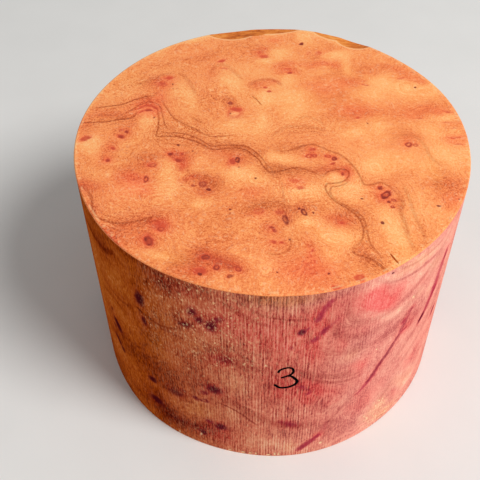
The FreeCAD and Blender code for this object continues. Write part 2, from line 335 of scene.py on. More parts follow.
# Burl eyes and pin knots of the top: x, y, half length, half width, turn,
# dark (0 to 1), rose (0 to 1), hollow (1 draws it as a ring)
TOP_EYES = [
    (-43.3, 38.2, 1.9, 1.1, 5, .1, .9, 0), (-45.5, 34, 2.2, 1.4, -10, .2, .6, 0),
    (-41.5, 34.2, .6, .5, 0, .8, .1, 0), (-40.7, 31.3, .4, .4, 0, .6, 0, 0), (-39.2, 31, .4, .4, 0, .5, 0, 0),
    (-42.3, 30, .4, .3, 0, .5, 0, 0), (-21.8, 50.7, 1.9, 1, 30, .15, .9, 0),
    (-20.3, 45.3, 1.8, .6, -8, .15, .6, 0), (-3.7, 54.3, 2, 1.2, -18, .1, .85, 0),
    (-5.5, 57, 1.3, .9, 20, .1, .5, 0), (-3, 60, 1.3, .7, -30, .05, .45, 0),
    (-2.8, 32.7, .8, .7, 0, .2, .9, 0), (-1.2, 30.2, 1.2, .7, 10, .2, 1, 0),
    (-16.8, 22.3, 1.2, 1, 10, .65, .7, .4), (-14.2, 18.3, 2.3, 1.1, -5, .2, 1, 0),
    (-14.8, 15.8, 3.2, 3, 20, .05, .55, 1), (-16.5, 15.7, .5, .4, 0, .6, .2, 0),
    (-53, 18.2, 1.7, .6, 40, .2, .8, 0), (-50.2, 19.7, 2.2, .7, 4, .2, .8, 0),
    (-47.2, 18.6, 1.8, .7, -35, .2, .9, 0), (-52.2, 15.9, 1.2, .5, 40, .15, .9, 0),
    (-49.6, 16.9, 1.8, .7, 8, .4, .9, 0), (-46.5, 12.7, .5, .6, 0, .6, .3, 0),
    (-56.4, 3.4, 1.1, .9, -30, .5, .7, 0), (-58.2, .6, 1.6, 1.1, -30, .5, .95, 0),
    (-58.6, 4.6, 1, .8, 0, .2, .6, 0), (-72, -.8, 2.4, 1.5, 30, .25, .9, 0),
    (-21.5, 1.4, .7, .5, 0, .4, .4, 0), (-35.7, -3.8, .7, .6, 0, .85, .2, 0),
    (-29.8, -7.2, .6, .5, 0, .7, .1, 0), (12.2, 64, 1.4, 1, 60, .9, .6, 0),
    (19.8, 57.2, 1.8, 1.4, 60, 0, .5, 0), (15.5, 57, 1.5, .8, 50, .05, .4, 0),
    (22, 50, 1.8, 1.5, 0, .15, .4, 1), (7.2, 43, 1.2, .7, 0, .35, 1, 0), (6, 45.8, 1.2, .5, -10, .1, .6, 0),
    (38.3, 35.6, 1.9, .5, -12, .15, .6, 0), (37.8, 38.2, 1.5, .4, 8, .1, .45, 0),
    (58.8, 34.3, .7, .6, 0, .9, .5, 0), (34, 14, .9, .5, 10, .25, .9, 0),
    (37.7, 11.2, .9, .4, -60, .6, .3, 0), (58.5, 14.6, 2, .4, -12, .3, .5, 0),
    (52.8, -.9, 1.5, 1.4, 30, .5, .8, .8), (55.3, -1.3, 1, .9, 0, .4, .7, .8),
    (71, 3.3, 3, .6, 5, .05, .6, 0), (72, -.3, 2.4, .5, -5, .1, .6, 0), (70, 19, 2.5, .6, -15, .1, .6, 0),
    (69, 12.5, 2.2, .5, 5, .1, .5, 0), (71.3, 9, 1.2, .4, -8, .15, .6, 0),
    (53.5, 40.4, 1.8, .7, 10, .05, .55, 0), (-60.3, -6.3, 1, .7, -30, .3, .9, 0),
    (-61.5, -13, 1.1, .9, -10, .45, 1, 0), (-38.1, -9, 1.2, 1, -10, .55, .8, 0),
    (-33.7, -8.8, 1, .7, 0, .35, .7, 0), (-34.9, -12.2, 1.8, 1.2, -15, .45, .9, 0),
    (-33, -16, 1, 2.4, 0, .05, .5, 0), (-44.3, -15.3, 1.5, 1, 0, .4, .7, .5),
    (-46, -23, 1, 1.6, 0, .55, .8, 1), (-50.2, -23, .5, 1.1, 0, .3, .6, 0),
    (-12.4, -11.6, .9, 1.8, 14, .8, .5, .8), (-14.3, -12.4, 1, 1.6, 10, .35, .9, .4),
    (-11.7, -15.7, .6, .6, 0, .5, .4, 0), (-24.7, -24.8, 1.9, 1.6, -20, .5, .6, .4),
    (-22.4, -27.8, 1.1, .9, 0, 1, .5, 0), (-28.2, -25.9, .9, .9, 0, .45, .6, 0),
    (-32.5, -26, .5, .4, 0, .4, .3, 0), (-5.5, -21.2, .6, .55, 0, 1, .2, 0),
    (-14.2, -37.5, .6, .5, 0, 1, .2, 0), (-37.8, -47.8, 1.3, 1.2, 0, .4, 1, .8),
    (-38, -46, 2.6, 2.2, 0, .05, .75, 0), (-41.5, -53.4, 2.5, 1.7, -59, .5, .95, .4),
    (-42.6, -52.6, .7, 1, 20, .8, .6, 0), (-41, -55, .9, .5, 10, .7, .6, 0),
    (-21.2, -60.4, 1.6, 1.2, 0, .6, .8, .5), (-17.4, -64.7, 1.1, 1, 0, .55, .9, 1),
    (-17, -62.2, 1.5, 1.7, 20, .3, .4, .2), (-22.5, -66.4, 2, 1.5, 0, .25, .9, .2),
    (-22.6, -67.6, .9, .8, 0, 1, .3, 0), (-9.8, -65.3, 1.1, 1, 0, .5, .9, .9),
    (-12, -64, 2.2, 1.3, 10, .3, .35, .3), (-12.4, -68.3, 1.2, .8, 20, .6, .6, .4),
    (1, -45.8, 1.3, .9, -20, .5, .7, 0), (1.9, -47.5, 1, .7, -30, .4, .8, 0),
    (-3.5, -38.2, 1.9, 1.4, 0, .15, .5, 1), (3.3, -66.3, .5, .4, 0, .7, .3, 0),
    (16, -4.9, 1, .8, 0, .3, .9, 1), (14.4, -8.5, 1.3, 1, 0, .3, .9, 1), (16.6, -8.5, .9, .9, 0, .35, .9, 1),
    (21.5, -8.4, 1.2, .9, 10, .3, .9, 1), (24, -9.8, 1, 1.1, 0, .65, .9, .5),
    (23.3, -12.4, 1.2, .7, 20, .3, .8, 0), (27, -18, .6, 1.3, 0, .5, .9, 0),
    (9, -22.2, 2, 1.1, 0, .05, .6, 0), (11.3, -25.8, 1.7, 1.1, 0, .1, .75, 0),
    (40.2, -25.2, 1.1, 1, 0, .55, .8, 0), (42, -28.6, 2.4, 1.4, 55, .65, 1, .8),
    (41.2, -30.1, 1, .7, 10, .8, .5, 0), (42.7, -32.2, .9, .8, 0, .6, .8, 0),
    (44.6, -31.3, .9, .8, 0, .5, .8, 1), (44, -34.6, .9, .7, 10, .5, .9, 1),
    (33, -30.8, .6, .5, 0, .9, .2, 0), (60.4, -33.6, 1.1, .4, -5, .9, .1, 0),
    (63.6, -39.5, .5, .4, 0, .8, .1, 0), (39.5, -42.5, .8, .6, -30, 1, .1, 0),
    (25.5, -43.2, .9, .7, 0, .25, 1, 0), (12.4, -38.2, .9, 1.8, 25, .85, .4, .9),
    (10.7, -36.4, .6, .5, 0, .8, 0, 0), (15.7, -38.4, .5, .7, 20, .9, .2, 0),
    (5.8, -42, 1.3, 2.5, 15, .65, .5, .65), (3.7, -38.5, 1.8, 1.2, 0, .25, .6, 0),
    (1.9, -52.8, 1, .8, 0, .25, .9, 0), (4.7, -52.9, .9, .6, 0, .2, .9, 0), (15, -56.2, .6, .6, 0, .2, .8, 0),
    (14.6, -58.6, .5, .9, 10, .15, .7, 0), (13.4, -54.2, .4, .8, 0, .1, .5, 0),
    (15.6, -61, .5, 1, -10, .1, .6, 0), (12.7, -62.4, .5, .7, 20, .15, .6, 0),
    (14.2, -64.3, .6, .5, 0, .1, .6, 0), (22.4, -72, 1.4, .9, 0, .15, .9, 0),
    (30.3, -67.8, 1.6, 1.5, 0, .1, 1, .5), (20.3, -66.2, .6, .5, 0, .8, .6, 0),
    (7, -51.3, .6, .5, 0, .8, .2, 0), (68, -30.2, .6, .5, 0, .5, .6, 0),
]

# Growth lines of the top: half width, darkness, then the points that the line runs through
TOP_LINES = [
    (.36, .62, [(-76, 8.3), (-66, 9.3), (-60, 10.8), (-55.5, 12), (-53.6, 15.6)]),
    (.35, .45, [(-59, 14), (-55.4, 17.8), (-53, 20.3), (-49.5, 22.3), (-45.5, 20), (-43.6, 14.5), (-41.8, 8),
        (-40, 4.8)]),
    (.36, .62, [(-48.3, 19.8), (-46, 17.8), (-44.8, 12), (-44.4, 6), (-44.4, 1.2), (-41, 1.3), (-36, 1),
        (-31, -.6), (-27, -2.8), (-23.5, -5.4), (-21, -5.9), (-17, -5.2), (-13, -4.9), (-9.5, -5.9),
        (-7, -8.3), (-4.5, -11), (-2.5, -15), (0, -17.8), (4, -17.2), (8, -15.6), (12, -15.6), (16, -17.3),
        (19.3, -20.3)]),
    (.34, .55, [(-44, 4), (-40, 3.3), (-36, 3.3), (-33, 2.6), (-29, .6), (-25.5, -2), (-22.6, -4),
        (-18, -3.5), (-13, -3.2), (-9, -4.1), (-6, -6.8), (-3.4, -10), (-1.4, -14), (.6, -16.4)]),
    (.42, .6, [(-72, 17.6), (-66, 18.9), (-60, 20.5), (-56, 23.3), (-52, 25.4), (-48, 26.3)]),
    (.38, .48, [(-45, 24), (-41.8, 17.5), (-38.6, 12.2), (-34, 8.4), (-30, 6), (-26.5, 3.2), (-22, 1.4),
        (-14, 2.8)]),
    (.38, .6, [(19.3, -20.3), (21.3, -17.3), (24, -16.1), (27.5, -15.6), (29.2, -17.6), (28.4, -20.6),
        (26, -22.6), (23, -23.3), (20.9, -23.6), (20.3, -26), (21.5, -29.5), (24, -33), (28, -36.2),
        (31, -39.7), (32.6, -44), (32.8, -48), (31.4, -52), (28.6, -55)]),
    (.36, .5, [(29.6, -19.6), (28, -23), (25, -24.7), (22.6, -25.2), (21.9, -27.4), (22.6, -30),
        (24.8, -32.8), (28.6, -35.4), (31.8, -38.4), (33.6, -42.4), (34.2, -47), (34.4, -51), (36, -55),
        (38.6, -59)]),
    (.42, .5, [(28.6, -55), (29.2, -57.2), (33, -58.8), (36, -60.4), (38.2, -63), (40.6, -65)]),
    (.42, .48, [(.5, -6), (6, -6), (9.5, -4.5), (12, -3), (16, -2), (19, -3.4), (22, -5.3), (26, -7.4),
        (29, -10.6), (31.8, -15.4), (33.4, -20), (34.6, -23.6), (38, -23.2), (41, -22.4), (44, -25),
        (46.8, -29)]),
    (.8, .32, [(46.8, -29), (47.6, -33), (46.6, -37), (47.4, -42), (48.4, -50)]),
    (.5, .5, [(-68.5, -27.5), (-65.5, -31), (-64, -35), (-63, -39.5), (-60.5, -43), (-56, -45), (-52, -45.5),
        (-47, -44.5), (-42, -42.3), (-38, -41.4)]),
    (.9, .15, [(-26, 41), (-24.6, 46), (-21, 48.2), (-17.4, 45), (-14.6, 41), (-12, 37)]),
    (.9, .25, [(-9.5, 33.6), (-6.4, 37), (-1, 38.4), (2.8, 36), (4, 34)]),
    (.7, .2, [(47, 2), (51, 4.6), (56, 3.2), (59, -2), (60.4, -8), (64, -13)]),
    (.6, .2, [(.5, 2), (2.5, 5), (6, 8), (11, 8.6), (17, 8), (21, 6)]),
    (.4, .35, [(7.3, -50.2), (7.6, -54), (6, -57), (2.5, -58.4), (-.5, -57.8)]),
    (.7, .22, [(48.6, -23), (50.2, -30), (51.4, -39), (53.4, -47), (53.6, -51)]),
    (.7, .2, [(46.8, -43), (48, -49), (49.6, -55)]),
    (.9, .2, [(-57, 33), (-53, 35), (-50, 37.4), (-46, 40.4), (-42, 42)]),
    (.9, .2, [(-39.5, 42), (-36.6, 38.8), (-33.6, 34), (-31, 27)]),
    (.4, .3, [(-41, -2.8), (-36, -3.4), (-31, -4.6)]),
    (.4, .2, [(4.2, -22), (5.4, -34), (6.4, -46)]),
    (.3, .6, [(-8.3, 27.2), (-6.2, 24.8), (-4, 21.2)]),
    (.35, .7, [(41.1, -56.8), (42.4, -59.2), (43.6, -61.2)]),
    (.6, .15, [(10, 13), (14, 14.6), (18, 12.6), (21, 9.6)]),
    (.5, .3, [(-32, 13), (-29.4, 11.2), (-27, 9.4)]),
]

# Soft patches of the wall: azimuth, height, half length, half width, turn, tone, blush
WALL_PATCHES = [
    # The patch at azimuth -154 is a painted sheen down the left limb of the wall
    (-146, 98, 15, 2.6, 8, -.55, .2), (-154, 66, 4, 34, 0, .45, -.2), (-152, 82, 9, 7, 0, .15, 0),
    (-140, 84, 9, 6, 0, .25, -.3), (-130, 100, 8, 4, 0, .3, -.2), (-150, 28, 9, 8, 0, .2, 0),
    (-140, 30, 8, 7, 0, .15, 0), (-144, 12, 22, 4, 0, -.25, .1), (-123, 12, 7, 6, 0, -.9, .4),
    (-130, 45, 15, 5, 0, -.35, .1), (-147, 48, 6, 5, 0, -.15, .1), (-136, 62, 14, 6, 0, .2, -.1),
    (-120, 58, 6, 6, 0, .3, 0), (-119, 34, 7, 4, -10, -.7, .4), (-114, 25, 4, 5, 0, .4, -.1),
    (-128, 24, 6, 3, 10, -.4, .1), (-127, 16, 7, 5, 0, -.45, .2), (-112, 13, 9, 3, 18, -.7, .4),
    (-106, 18, 7, 4, 30, -.5, .6), (-104, 12, 5, 4, 0, -.2, .6), (-117, 103, 7, 5, 0, -.4, .5),
    (-110, 98, 4, 3, 0, .35, .1), (-120, 92, 6, 6, 0, .2, 0), (-113, 78, 8, 7, 0, .25, -.2),
    (-106, 91, 7, 4, 15, -.4, .5), (-113, 86, 4, 3, 20, -.45, .2), (-104, 68, 6, 4.5, 0, -.3, .8),
    (-105, 47, 5, 5, 0, -.35, .4), (-110, 54, 9, 4, 0, -.15, 0), (-97.5, 51, 5, 8, 0, .2, -.45),
    (-98, 40, 6, 5, 0, .05, .3), (-100, 33, 3, 5, 0, .2, 0), (-117, 45, 6, 3, 0, -.3, .1),
    (-97, 76, 7, 4, 0, -.1, .1), (-92, 79, 4, 8, 0, -.1, 0), (-95, 24, 6, 5, 0, .2, 0),
    (-90, 12, 6, 6, 0, .35, -.1), (-81, 8, 6, 5, 0, .2, -.6), (-86, 107.6, 14, 3.2, 0, -1, -1.1),
    (-85, 84, 8, 16, 0, -.12, .65), (-78, 92, 5, 10, 0, -.1, .3), (-86, 60, 4, 6, 0, -.1, .25),
    (-78, 52, 5.5, 4.5, -20, -.65, 1.3), (-71, 46, 6, 3.5, -30, -.25, .55), (-84, 49, 6, 4, 0, -.2, .7),
    (-83.5, 26, 5, 4, -15, -.6, .4), (-82, 18, 6, 3, 0, -.3, 0), (-78, 60, 5, 4, -40, -.4, .2),
    (-73, 72, 8, 8, 0, 0, .1), (-66, 64, 7, 6, 0, .25, -.35), (-62, 58, 5, 4, 0, .1, .5),
    (-77, 37, 9, 6, 0, -.25, .05), (-67, 39, 7, 8, 0, .05, -.05), (-74, 26, 6, 4, 0, -.1, .1),
    (-68, 13, 5, 9, 0, -.14, .12), (-60, 17, 6, 8, 0, -.05, -.1), (-67, 99, 2, 6, 0, .2, .2),
    (-61.5, 98, 4.6, 6, -25, .1, 1.15), (-56.5, 91, 7, 4, -30, .1, 1), (-52, 96, 4, 4, 0, .15, .6),
    (-70.5, 92, 2.2, 8, 0, -.4, .35), (-66, 82, 8, 4, -18, -.2, .3), (-44, 72, 7, 8, 20, -.3, .05),
    (-52, 71, 6, 5, 20, -.2, .05), (-45, 65, 5, 4, 0, -.2, .4), (-46, 51, 6, 9, 50, .1, 0),
    (-50, 14, 7, 8, 0, .24, -.65), (-42, 22, 5, 12, 35, .3, -.3), (-38, 47, 7, 10, 0, .25, .05),
    (-50, 35, 8, 6, 0, .05, .1), (-27, 74, 5, 14, 0, -.1, 0), (-46, 104, 12, 3.5, -8, .45, -.6),
    (-40, 94, 9, 4, -25, .35, -.4), (-32, 100, 6, 5, -40, .25, 0), (-43, 85, 4, 4, 0, .3, -.3),
    (-47, 90, 4, 4, 0, .15, .2), (-37, 34, 7, 2.5, 45, -.1, .3), (-28, 30, 6, 12, 0, .2, .15),
    (-34, 12, 8, 5, 20, -.1, .2), (-56, 28, 5, 7, 0, .2, .05), (-121, 40, 5, 6, 0, -.4, .1),
    (-109, 7.5, 4, 2.5, 0, -.4, .1), (-52, 82, 7, 4, -20, .55, -.1), (-60, 85, 5, 2, -15, .3, 0),
    (-35, 15, 6, 4, 0, .45, -.2), (-45, 18, 3, 5, 0, -.25, .3), (-33, 28, 3, 4, 0, -.1, .15),
    (-47, 5.5, 5, 2.5, 0, .1, -.6), (-58, 104.5, 5, 2, -20, .35, -.3), (-42, 99, 6, 2, 0, -.35, .3),
    (-42, 90, 3, 5, 0, 0, .4), (-76, 96, 3, 4, 0, -.45, .6), (-77, 76, 3, 7, 0, -.3, .7),
    (-70, 76, 2, 5, 0, -.2, .4), (-63, 73, 3, 4, 0, -.35, 0), (-68, 62, 6, 4, 0, -.35, .3),
    (-77.5, 43, 4, 2.5, 0, -.4, .7), (-70, 38, 4, 2.5, 0, -.3, .5), (-85, 37, 4, 5, 0, -.25, .2),
    (-90, 63, 2, 5, 0, -.35, .1), (-96.5, 45, 3, 6, 0, -.4, .1), (-84, 20, 5, 4, 0, -.4, -.1),
    (-61, 13, 2, 5, 0, -.35, 0), (-60, 27, 2, 5, 0, -.25, 0), (-110.5, 104, 3, 3, 0, -.45, .5),
    (-125, 108, 28, 2, 0, -.45, 0), (-105, 97, 4, 4, 0, .4, .1), (-114, 96, 4, 3, 0, .25, 0),
    (-95, 88, 9, 10, 0, 0, .8), (-116, 75.5, 5, 2, 0, -.35, .3), (-123, 63, 3, 7, 0, -.1, -.5),
    (-137, 42, 5, 4, 0, -.3, 0), (-36, 78, 2, 5, 0, .3, -.2), (-126, 60, 5, 50, 0, -.25, .1),
    (-110, 74, 8, 34, 0, -.12, .3), (-101, 104, 8, 5, 0, -.05, .25), (-102, 48, 6, 6, 0, -.1, .1),
    (-93, 56, 7, 12, 0, -.15, .25), (-86, 61, 6, 10, 0, -.2, .35), (-62, 54, 4, 8, 0, -.2, .3),
    (-59, 26, 8, 8, 0, -.2, .3), (-46, 15, 6, 7, 0, -.22, .4), (-143, 38, 16, 5, 0, -.3, 0),
    (-70, 103, 8, 5, 0, -.15, .3), (-103, 10, 8, 8, 0, -.05, .3), (-79, 12, 6, 5, 0, -.15, .1),
    (-46, 94, 5, 4, 0, .25, -.1), (-118, 105, 8, 4, 0, -.12, .25), (-100, 93, 9, 7, 0, .22, .1),
    (-103, 71, 6, 6, 0, .15, 0), (-94, 82, 5, 7, 0, .2, -.1), (-67, 38, 6, 6, 0, .2, -.2),
    (-86, 104, 10, 4, 0, .15, -.15), (-110, 104, 5, 4, 0, .2, .1), (-108.5, 71, 4, 5, 0, .05, -.6),
    (-110.5, 31, 4, 6, 0, .15, -.55), (-101, 77, 4, 3, 0, -.2, 0), (-119, 46, 4, 5, 0, -.2, -.1),
]

# Pin knots of the wall, as the eyes of the top are listed, with azimuth and height for x and y
WALL_EYES = [
    (-127.6, 86, 4.2, 2.3, 85, .85, .8, 0), (-127, 73.2, 2.6, 1.5, 100, .6, .9, 0),
    (-145.3, 57, 2.4, 1.2, 60, .45, .3, 0), (-143, 49.4, 4, 2.6, -60, .9, .6, 0),
    (-145.6, 45.5, 2.2, 1.6, 20, .45, .3, 0), (-145, 36, 4.6, 1.8, -42, .65, .5, 0),
    (-142.6, 32.6, 2.2, 1.8, 40, .65, .5, 0), (-127.5, 32.6, 2.4, 2, 20, .85, .7, 0),
    (-127, 17.4, 3.8, 2.5, 5, .85, .6, 0), (-124.5, 15.5, 1.6, .9, -30, .4, .4, 0),
    (-137, 10.4, 1.5, .7, 30, .3, .2, 0), (-110.2, 93.4, 2, 2.6, -20, .5, .9, 0),
    (-108.2, 89.6, 1.8, 2.2, 0, .5, .9, 0), (-104.9, 88, 2.4, 3.2, -15, .6, 1, 0),
    (-103, 92.6, 2.4, 1.4, 40, .25, 1, 0), (-112.6, 84.2, 2.6, 2, 30, .55, .6, 0),
    (-114.4, 83.2, 1.2, .7, 30, .35, .3, 0), (-101.6, 69, 3.8, 2.6, 10, .1, .6, 0),
    (-105.2, 46.4, 3.4, 2.8, 10, .7, .8, 0), (-108.4, 42.2, 2, 1.5, 30, .3, .8, 0),
    (-111.4, 36, 1.5, 1.5, 0, .4, .9, 0), (-108.6, 36.2, 1.8, 1.2, 10, .45, .9, 1),
    (-118.4, 33.4, 4.6, 2.4, 15, .5, .4, 0), (-115.6, 37.6, 1.8, 1.1, 20, .3, .4, 0),
    (-121, 36.5, 1.4, .9, 60, .3, .3, 0), (-103.6, 19, 2.6, 2.4, 10, .65, .9, 0),
    (-107.3, 20.8, 1.8, 1.5, 0, .25, .9, 0), (-109.8, 10, 1.8, 2.2, 0, .65, .8, 0),
    (-120, 11.5, 1.6, 1, 0, .4, .4, 0), (-117, 12.4, 1.8, .8, 10, .3, .4, 0),
    (-80.9, 88.8, 1.4, 2, -20, .8, 1, 0), (-79.4, 90.6, 1.6, .6, 55, .1, .9, 0),
    (-83.5, 80, .9, 1.5, 10, .25, .5, 0), (-74.8, 87.8, 2.7, 1.3, 62, .35, 1, 0),
    (-77.2, 83.6, 2.2, 1.2, 55, .15, 1, 0), (-76.7, 95.6, 2.2, 1.1, 62, .2, 1, 0),
    (-82.4, 26.4, 3.6, 2, -30, .2, .8, 0), (-85, 28.4, 2, 1.2, 0, .15, .6, 0),
    (-37.4, 60.4, 3.2, 1.5, 52, .85, .8, 0), (-32.8, 71, 4, 1.8, 62, .3, 1, 0),
    (-29.6, 87.6, 3, 1.5, 65, .4, .8, 0), (-27.4, 51, 3, 2, 55, .5, .8, 0),
    (-46.2, 64.3, 1.4, .9, 30, .35, .6, 0), (-47.6, 71, 1.9, 1, 25, .35, .7, 0),
    (-45, 76, 1.7, 1.1, 0, .25, .5, 0), (-56.5, 107.6, .7, .6, -40, .9, 0, 0),
    (-78.2, 6, 3.2, 1.5, 50, .25, 1, 0), (-74, 12.3, 2, 1, 52, .3, 1, 0), (-99.5, 96, 1.5, .5, 20, .3, .3, 0),
    (-79.8, 53.4, 1.6, .8, 40, .3, .8, 0), (-77.6, 48.3, 1.5, .8, 30, .15, .9, 0),
    (-10, 18, 4, .8, -50, .5, .5, 0), (-6, 52, 3, 1.3, -60, .35, .9, 0),
]

# Stained streaks of the wall: half width, dark, rose, then azimuth and height along the streak
WALL_STREAKS = [
    (1.2, .15, .75, [(-61.2, 37), (-58.4, 41.6), (-56.2, 46), (-54, 51)]),
    (1.5, .45, .6, [(-58.4, 42.4), (-54.6, 50.4), (-51.4, 57), (-48.6, 63.4)]),
    (1.5, .3, .5, [(-51.2, 57.5), (-48.8, 62), (-47.2, 68), (-45, 76)]),
    (2.6, .1, .7, [(-37.2, 61), (-35, 66), (-33.4, 71.6), (-32, 78.6), (-30.6, 86), (-29.6, 91)]),
    (1.5, .1, .8, [(-73.6, 105), (-75.2, 100.5), (-76.8, 94.6)]),
    (1.3, .05, .5, [(-71, 93.4), (-74.6, 88), (-77.8, 81.8)]),
    (1.7, .12, .95, [(-78.8, 4.4), (-76, 9), (-73.2, 14)]),
    (1.6, .1, .35, [(-73.4, 13), (-71.4, 19), (-71, 22.5)]),
    (.7, .15, .6, [(-81.3, 54.6), (-79, 52.6), (-77, 50)]),
    (.8, 0, .35, [(-41, 36), (-37, 31), (-33, 26)]),
]

# Growth lines of the wall: half width, darkness, then azimuth and height along the line
WALL_LINES = [
    (.7, .5, [(-131, 79.6), (-126, 78), (-121, 76.8), (-117, 78.6), (-113.4, 82)]),
    (.5, .7, [(-104.6, 38), (-101, 36.4), (-98.2, 34), (-96, 31.4), (-94, 28), (-92, 25.4)]),
    (.7, .35, [(-105, 41.6), (-100, 39.4), (-96, 36), (-93.6, 32)]),
    (.8, .35, [(-102, 80), (-99, 76.6), (-96.4, 73), (-92.4, 69.6)]),
    (.8, .25, [(-104, 83), (-99.6, 80), (-96, 77), (-91, 74.6)]),
    (.7, .35, [(-99, 107), (-96, 104), (-92, 99.4), (-86, 97), (-79, 95.4)]),
    (.9, .3, [(-101, 102), (-97, 98), (-93, 94)]),
    (.8, .4, [(-81.6, 64), (-78.6, 60), (-75, 56), (-70.6, 52.4), (-66, 50.4), (-61.4, 50)]),
    (.8, .3, [(-80, 67), (-76, 61), (-71, 56), (-65, 53), (-60, 53.6)]),
    (.8, .15, [(-71.6, 90), (-68, 86.4), (-63, 84), (-57, 83), (-50, 85.6)]),
    (1, .12, [(-73, 84), (-69, 79.4), (-64, 77), (-58, 75.6), (-52, 77)]),
    (.8, .12, [(-66.6, 96.4), (-63, 91), (-57, 87), (-50.6, 85)]),
    (.8, .3, [(-151, 75.4), (-146, 74), (-140, 73.4), (-135, 74.6), (-130, 78)]),
    (1.2, .45, [(-157, 97.6), (-152, 96.4), (-147, 96.2), (-142, 97.6), (-138, 100.6), (-134.6, 104.6)]),
    (.9, .25, [(-158, 104), (-150, 101), (-143, 103), (-139, 107)]),
    (.9, .3, [(-150, 66), (-142, 69), (-135, 68)]),
    (.8, .3, [(-61, 107.6), (-57.6, 103.6), (-53, 101), (-47, 99.6), (-40, 99), (-30, 97)]),
    (.6, .25, [(-55, 108.6), (-50, 105.6), (-43, 104.4), (-34, 104)]),
    (.9, .3, [(-126, 13), (-121, 10.6), (-114, 12.6), (-108, 17.6), (-103, 22)]),
    (.7, .25, [(-76, 19), (-70, 23.6), (-66, 32), (-62, 37)]),
    (.7, .2, [(-72, 9), (-69, 18), (-68.6, 24)]),
    (2, .35, [(-107, 75.5), (-101, 71.5), (-96, 67.8), (-90, 65), (-86, 63.5)]),
    (1.4, .4, [(-104, 71), (-101, 68.6), (-97.6, 66.4), (-94, 63.6)]),
    (2.4, .35, [(-104, 43), (-99, 39.4), (-94, 34), (-89, 29), (-84, 26), (-79, 24), (-74, 24)]),
    (1.4, .35, [(-82, 65.8), (-78, 61.8), (-74, 58.6), (-69, 56.4), (-64, 56)]),
    (1, .35, [(-103, 105), (-99, 101), (-95, 97), (-92, 94.4), (-89, 93)]),
    (1.7, .3, [(-66.6, 108), (-68.6, 99), (-67, 90), (-62, 85.4), (-55.6, 84), (-49, 87), (-42, 92),
        (-35, 98), (-29, 105)]),
    (1.8, .25, [(-73.4, 99), (-73.4, 91), (-69.6, 82), (-62, 77.6), (-52, 78), (-44.6, 83), (-38, 90),
        (-32, 98)]),
    (1.6, .25, [(-76, 78), (-71, 72), (-62, 69), (-52, 71), (-44, 78)]),
    (1.8, .2, [(-50, 44), (-44, 51), (-38, 60), (-33, 70)]),
    (1.6, .2, [(-46, 36), (-39, 44), (-32, 54), (-28, 62)]),
]

# The numeral, written by hand in two strokes: azimuth and height along the middle of the pen line,
# and half the width of each stroke
NUMERAL_STROKES = [
    [(-86.5, 64.6), (-86.2, 65.9), (-85.2, 67), (-83.9, 67.5), (-82.8, 66.9), (-82.4, 65.3), (-82.6, 63.8),
        (-83.5, 62.4), (-85.6, 61)],
    [(-83.8, 62.1), (-82.8, 61.6), (-81.7, 59.6), (-81.2, 58), (-81.6, 56.3), (-82.8, 54.9), (-84.2, 54.2),
        (-86.1, 54.3), (-87.4, 56.1)],
]
PEN_HALF_WIDTHS = (0.5, 0.62)

# Pale chips of the wall, most of them at its lower edge: azimuth, height, half width, half height
CHIPS = [
    (-118.8, 1, .4, 1.2), (-113.6, .6, .3, .7), (-96.7, .9, .9, 1), (-94.4, .8, .7, 1.1), (-92.6, 1, .4, 1.4),
    (-88.6, .8, 1, .9), (-86.6, 1.4, .45, 1.8), (-85.4, 1.2, .45, 1.6), (-110.6, 7.6, .4, .9),
    (-101, .8, .7, .8), (-72, 6.4, .7, .9), (-113, 83.8, .3, .5), (-112, 84.4, .3, .45), (-45.4, 83, .6, .8),
    (-51, 81.6, .35, .6), (-57, 63.2, .35, .6), (-90, 68.6, .4, .6),
]

# How the wall changes on the way round: azimuth and amount. side goes from orange wood, darkened
# with painted shade on the left, to pink, saw is how strong the saw lines are, and torn is how many
# pale torn fibres show.
ZONES = {
    "side": [(-270, .4), (-200, .03), (-126, .02), (-110, .2), (-100, .34), (-90, .5), (-78, .7), (-60, 1),
        (-10, 1), (90, .4)],
    "saw": [(-270, .12), (-135, .08), (-124, .3), (-110, .5), (-97, .85), (-91, 1), (-78, .9), (-71, .35),
        (-50, .2), (90, .12)],
    "torn": [(-270, 0), (-127, 0), (-122, .5), (-113, .9), (-98, .8), (-90, .3), (-74, .1), (-60, 0),
        (90, 0)],
}

# What a field has on a finish that doesn't set it, where that isn't 0
REST = {"ink": FAR}

# Colours as the screen shows them, from 0 to 255. Those of the wood go from dark to pale.
FACE_COLOURS = {
    "plain": [(192, 94, 46), (228, 123, 68), (249, 149, 87), (255, 173, 107), (255, 197, 132)],
    "red": [(190, 68, 38), (226, 97, 58), (248, 123, 76), (255, 148, 94), (255, 172, 114)],
    "gold": [(192, 102, 42), (232, 134, 64), (252, 160, 88), (255, 180, 112), (255, 200, 136)],
}
# The left wall's colours hold the wood's own deeper orange and painted shade as well
LEFT_COLOURS_WITH_SHADE = {
    "plain": [(88, 22, 0), (140, 50, 0), (184, 80, 6), (208, 106, 30), (234, 150, 96)],
    "red": [(74, 10, 4), (120, 28, 4), (168, 54, 16), (198, 84, 48), (224, 124, 92)],
    "gold": [(98, 32, 0), (150, 62, 0), (194, 92, 4), (214, 118, 26), (238, 158, 88)],
}
RIGHT_COLOURS = {
    "plain": [(136, 52, 62), (190, 98, 94), (232, 145, 130), (250, 178, 154), (255, 214, 184)],
    "red": [(134, 26, 44), (192, 56, 62), (238, 102, 96), (248, 132, 124), (252, 164, 150)],
    "gold": [(140, 76, 48), (200, 120, 80), (238, 160, 118), (250, 188, 144), (255, 214, 170)],
}
WANE_COLOURS = [(150, 70, 26), (204, 106, 42), (230, 134, 58), (246, 164, 84)]

# Colours of the marks: rose stain, dark core of an eye, and shade of a growth line
FACE_MARKS = [(214, 80, 54), (132, 47, 38), (176, 122, 92)]
# The marks of the left wall are darkened with painted shade as well
LEFT_MARKS_WITH_SHADE = [(124, 26, 28), (76, 14, 22), (176, 106, 92)]
RIGHT_MARKS = [(182, 46, 76), (112, 26, 46), (186, 116, 132)]
